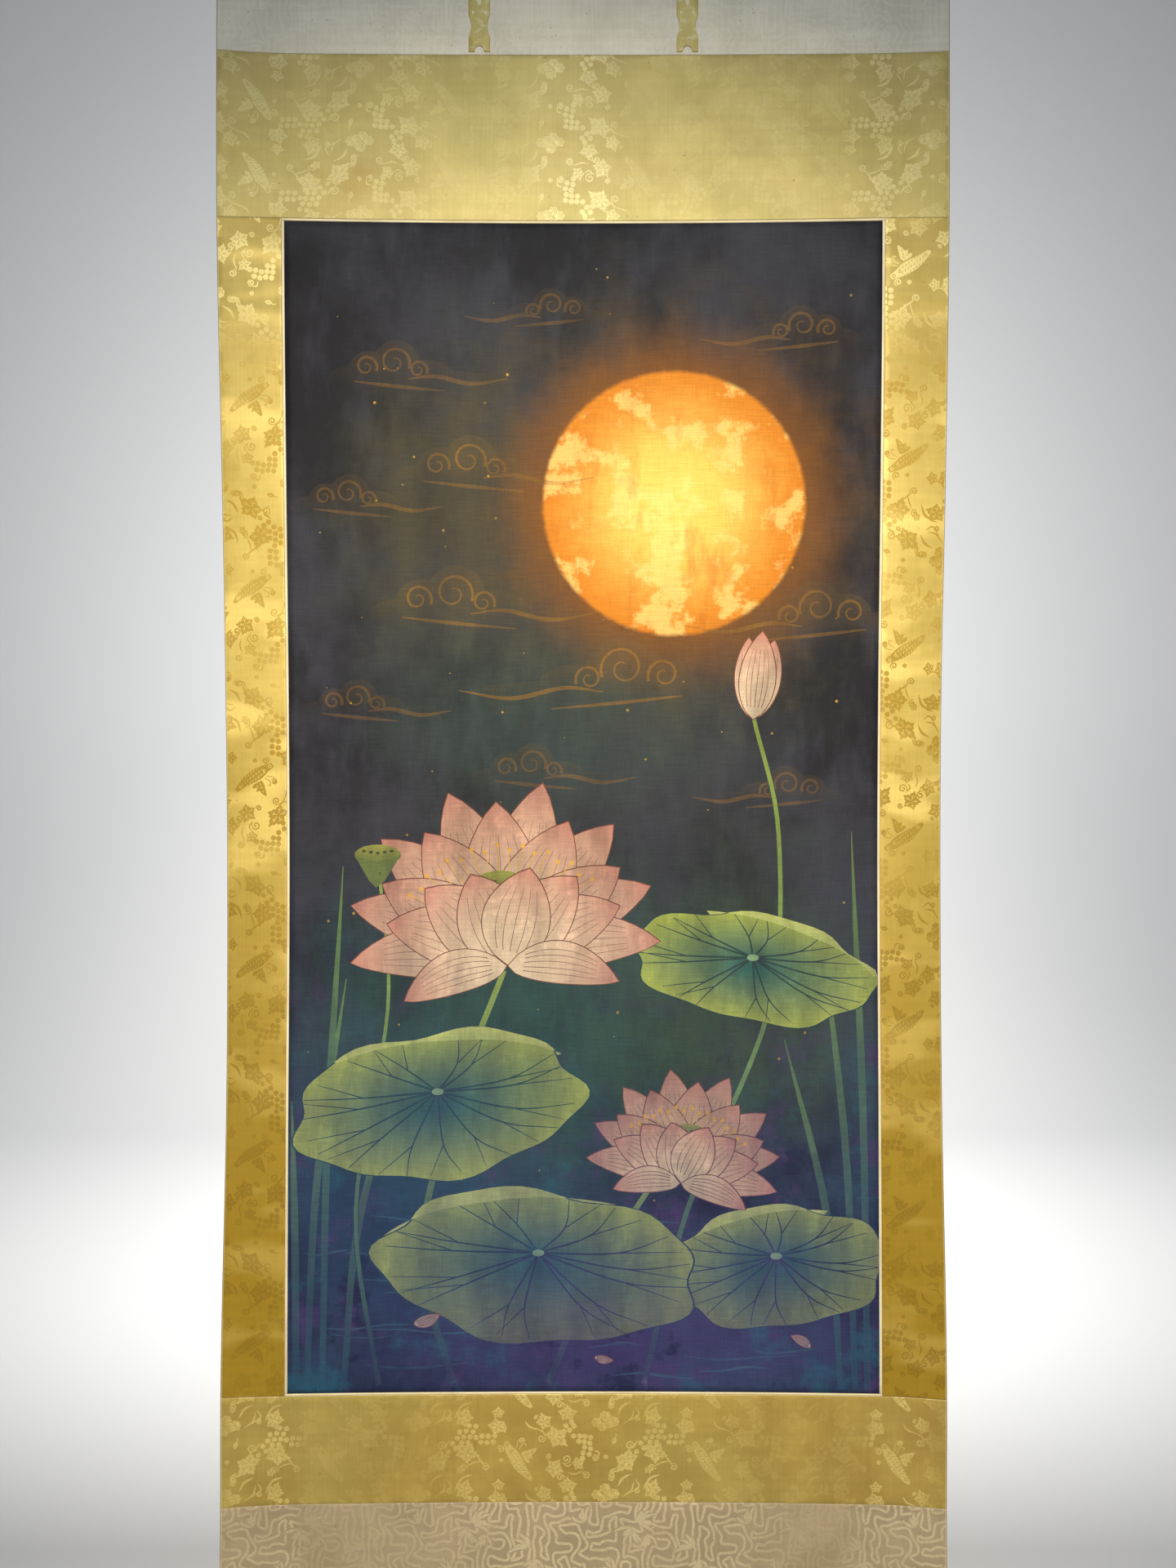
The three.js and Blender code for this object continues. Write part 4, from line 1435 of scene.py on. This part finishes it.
LINE_WIDTH = 3.1
LINE_WANDER = 2.0
LINE_SWAY = 2.2
LINE_PIECE = 12
LINE_STEPS = 3
PETAL_LINE_STEPS = 3
SIDEWAYS_AND_DOWN = ((1, 0), (-1, 0), (0, 1), (0, -1))
grey_motifs = []


def beside(cell, a, b):
    """The cell next to one on a coarse net whose opposite edges meet."""
    return (cell[0] + a) % LINE_COLUMNS, (cell[1] + b) % LINE_ROWS


def grow_tree(draw):
    """A random tree that joins every cell of the coarse net."""
    joined, seen, growing = set(), {(0, 0)}, [(0, 0)]
    while growing:
        cell = growing[draw.randrange(max(0, len(growing) - 4), len(growing))]
        near = [beside(cell, a, b) for a, b in SIDEWAYS_AND_DOWN]
        free = [other for other in near if other not in seen]
        if not free:
            growing.remove(cell)
            continue
        chosen = draw.choice(free)
        joined |= {(cell, chosen), (chosen, cell)}
        seen.add(chosen)
        growing.append(chosen)
    return joined


def go_round(joined):
    """The closed line round such a tree, on a net twice as fine. It passes each place once."""
    def is_open(x, y, a, b):
        cell = beside((x // 2, y // 2), 0, 0)
        return (cell, beside(cell, a, b)) in joined

    def next_places(x, y):
        for a, b in SIDEWAYS_AND_DOWN:
            leaves = (x + a) // 2 != x // 2 or (y + b) // 2 != y // 2
            alongside = (0, 2 * (y % 2) - 1) if a else (2 * (x % 2) - 1, 0)
            if is_open(x, y, a, b) if leaves else not is_open(x, y, *alongside):
                yield x + a, y + b

    line, before, here = [], None, (0, 0)
    while not line or here != line[0]:
        line.append(here)
        before, here = here, next(place for place in next_places(*here) if place != before)
    return line


def sway(places):
    """How far the net leans at some places, the same at opposite edges of the repeat."""
    x, y = (places / GREY_REPEAT * 2 * math.pi).T
    return LINE_SWAY * np.stack([
        np.sin(3 * y + 1) + np.sin(2 * x - 4 * y), np.sin(4 * x + 2) + np.sin(3 * x + 3 * y + 4)
    ], axis=1)


def weave_wandering_line():
    """The wandering line, in short pieces that overlap a little and each start in the repeat."""
    draw = random.Random(11)
    line = go_round(grow_tree(draw))
    fine_net = 2 * LINE_COLUMNS, 2 * LINE_ROWS
    wander = [
        [np.array([draw.uniform(-LINE_WANDER, LINE_WANDER) for _ in "xy"]) for _ in range(fine_net[1])]
        for _ in range(fine_net[0])
    ]
    pitch = np.array(GREY_REPEAT) / fine_net
    places = [
        (np.array([x, y]) + 0.5) * pitch + wander[x % fine_net[0]][y % fine_net[1]] for x, y in line
    ]
    for start in range(0, len(places), LINE_PIECE):
        part = [places[(start + k) % len(places)] for k in range(-1, LINE_PIECE + 2)]
        piece = through(part, LINE_STEPS)[LINE_STEPS - 1:1 - LINE_STEPS]
        piece += sway(piece)
        piece -= np.floor(piece[0] / GREY_REPEAT) * GREY_REPEAT
        grey_motifs.append((strip(piece, LINE_WIDTH, LINE_WIDTH), 1))


def weave_fan(x, y, length, turn, spread, petals, bend):
    """A fan of long curved petals, with plain ground just round each."""
    lines = []
    for k in range(petals):
        part = np.array([0.14, 0.45, 0.75, 1.0])
        way = math.radians(turn + spread * (k / (petals - 1) - 0.5)) + bend * part
        reach = length * (0.82 + 0.18 * math.cos(2.4 * k)) * part
        middle = np.stack([x + reach * np.cos(way), y + reach * np.sin(way)], axis=1)
        lines.append(through(middle, PETAL_LINE_STEPS))
    for line in lines:
        grey_motifs.append((strip(line, 2.4, 3.0, 6.0), 0))
    for line in lines:
        grey_motifs.append((strip(line, 0.9, 1.2, 3.6), 1))


weave_wandering_line()
for fan in FANS:
    weave_fan(*fan)
# Where the grey panels' figure is painted paler as sheen, in millimetres across from the middle, and how
# much it shows elsewhere
EARTH_SHINE = [(0, 215, 0.8), (-372, 45, 0.7), (366, 60, 0.75)]
HEAVEN_SHINE = [(-250, 200, 0.14), (250, 190, 0.2)]
EARTH_REST = 0.28
HEAVEN_REST = 0.12


def make_grey_damask(name, low, high, woven_color, shine, rest):
    """Grey satin whose pale figure, a wandering line round fans of petals, is painted paler as sheen."""
    silk = Surface(name)
    place, across, down = across_and_down(silk)
    woven = silk.attribute("figure")
    patchy = silk.noise(place, 9, shift=(3, 3, 0), detail=3)
    cloudy = silk.noise(place, 13, shift=(6, 1, 0), detail=5, rough=0.6)
    ground = silk.mix(silk.between(cloudy, 0.3, 0.7), low, high)
    shown = catch_light(silk, across, shine, rest) * silk.between(patchy, 0.3, 0.6, 0.6, 1.0)
    tint = silk.mix(shown * broken_up(silk, place), ground, woven_color)
    color, threads = weather(silk, silk.mix(woven, ground, tint), across, place)
    normal = silk.bump(threads * 0.5 + woven * 0.6, 0.12 * MM, 0.35)
    return silk.finish(silk.gloss(color, normal, Roughness=0.55, Specular_IOR_Level=0.3))


grey_repeat = make_repeat("grey_repeat", GREY_REPEAT, grey_motifs)
# One grey silk in two tones: the bottom panel's is painted darker, as shade, than the top panel's
heaven_silk = make_grey_damask(
    "grey_damask_top", srgb(226, 218, 196), srgb(242, 234, 212), srgb(252, 246, 230), HEAVEN_SHINE,
    HEAVEN_REST,
)
earth_silk = make_grey_damask(
    "grey_damask_bottom", srgb(164, 145, 116), srgb(178, 158, 128), srgb(206, 188, 152), EARTH_SHINE,
    EARTH_REST,
)
GREY_PIECES = [
    # name, node, material, top, bottom, where a repeat starts across and down, hem
    (
        "grey_top", "heaven_panel", heaven_silk, 0, HEAVEN_HEIGHT, -395.6 * MM, 60 * MM,
        (-MM, HEM_HEIGHT),
    ),
    (
        "grey_bottom", "earth_panel", earth_silk, earth_start, earth_end, -361.6 * MM,
        earth_start - 8 * MM, (earth_end - HEM_HEIGHT, earth_end + MM),
    ),
]
for name, node, silk, top, bottom, start_across, start_down, hem in GREY_PIECES:
    make_woven_piece(
        name, node, grey_repeat, GREY_REPEAT, silk,
        (-cloth_side, cloth_side, top, bottom), (start_across, start_down), 0, hem,
    )
bpy.data.objects.remove(grey_repeat)


# The two ribbons: narrow olive-gold silk hung over the top panel and pasted at the top, each
# drawn in at a waist just above its end and notched with a pointed arch.
RIBBON_WIDTH = 24.5 * MM
RIBBON_FROM_MIDDLE = 118.5 * MM
RIBBON_CLOTH = 1.0 * MM
RIBBON_LIFT = 0.3 * MM
RIBBON_CLEAR_OF_SEAM = 3 * MM
WAIST_ABOVE_END = 29 * MM
WAIST_HALF_HEIGHT = 13 * MM
WAIST_DEPTH = 3.2 * MM
NOTCH_WIDTH = 11 * MM
NOTCH_HEIGHT = 7 * MM
ribbon_end = HEAVEN_HEIGHT - RIBBON_CLEAR_OF_SEAM
RIBBON_STEP = 3 * MM
SIDE_POINTS = 5
OVAL_SPACING = 92 * MM
OVAL_ABOVE_END = 58 * MM
DOT_BELOW_OVAL = 14 * MM
DOT_FROM_MIDDLE = 7 * MM


def ribbon_half_width(down):
    """Half the ribbon's width, which draws in at its waist."""
    near = np.maximum(0, 1 - np.abs(down - ribbon_end + WAIST_ABOVE_END) / WAIST_HALF_HEIGHT)
    return RIBBON_WIDTH / 2 - WAIST_DEPTH * np.sin(near * math.pi / 2)


def make_ribbon_silk():
    """Thin olive-gold silk with small pale woven ovals and dots."""
    silk = Surface("ribbon_silk")
    place = silk.cloth_place()
    cloudy = silk.noise(place, 22, detail=4)
    threads = silk.noise(place, 500, stretch=(1, 0.06, 1), detail=2)
    ground = silk.mix(silk.between(cloudy, 0.3, 0.7), srgb(196, 178, 100), srgb(216, 198, 122))
    flecked = silk.noise(place, 150, stretch=(0.6, 1, 1), shift=(2, 2, 0), detail=3)
    ground = silk.mix(silk.between(flecked, 0.55, 0.68) * 0.4, ground, srgb(232, 224, 180))
    color = silk.mix(silk.attribute("figure") * 0.8, ground, srgb(232, 224, 184))
    color = silk.tone(color, 0.88 + 0.24 * threads)
    normal = silk.bump(threads, 0.1 * MM, 0.5)
    return silk.finish(silk.gloss(color, normal, Roughness=0.5, Metallic=0.1))


def drawn_in(outline, by):
    """An outline moved inwards."""
    ahead = np.roll(outline, -1, axis=0) - np.roll(outline, 1, axis=0)
    ahead /= np.linalg.norm(ahead, axis=1)[:, None]
    return outline + by * np.stack([ahead[:, 1], -ahead[:, 0]], axis=1)


def make_ribbon(name, node, middle, material):
    """One ribbon, its outline drawn going round it from its top left corner."""
    down = spaced(0, ribbon_end, RIBBON_STEP)
    half = ribbon_half_width(down)
    turn = np.linspace(math.pi, 0, 2 * SIDE_POINTS + 1)
    notch = np.stack([
        NOTCH_WIDTH / 2 * np.cos(turn), ribbon_end - NOTCH_HEIGHT * np.sin(turn)
    ], axis=1)
    left = np.stack([-half, down], axis=1)
    right = np.stack([half, down], axis=1)[::-1]
    outline = np.vstack([left, notch, right]) + (middle, 0)
    figures = []
    for at in np.arange(ribbon_end - OVAL_ABOVE_END, 0.02, -OVAL_SPACING):
        figures.append(oval(middle, at, 2.4 * MM, 6.5 * MM, 14))
        for side in (-DOT_FROM_MIDDLE, DOT_FROM_MIDDLE):
            figures.append(oval(middle + side, at + DOT_BELOW_OVAL, 1.6 * MM, count=10))
    inside = [(middle + a, d) for a in (-6 * MM, 0, 6 * MM) for d in down[1:-5]]
    flat, faces, owners, _ = fill([outline, drawn_in(outline, SOFT_EDGE), *figures], inside)
    lift = -CLOTH / 2 - RIBBON_LIFT
    ribbon = make_sheet(name, flat, faces, front=lift - RIBBON_CLOTH, back=lift)
    mark_figure(ribbon, owners > 1)
    put_in_place(ribbon, node, material)


ribbon_silk = make_ribbon_silk()
make_ribbon("olive_left", "ribbon_left", -RIBBON_FROM_MIDDLE, ribbon_silk)
make_ribbon("olive_right", "ribbon_right", RIBBON_FROM_MIDDLE, ribbon_silk)
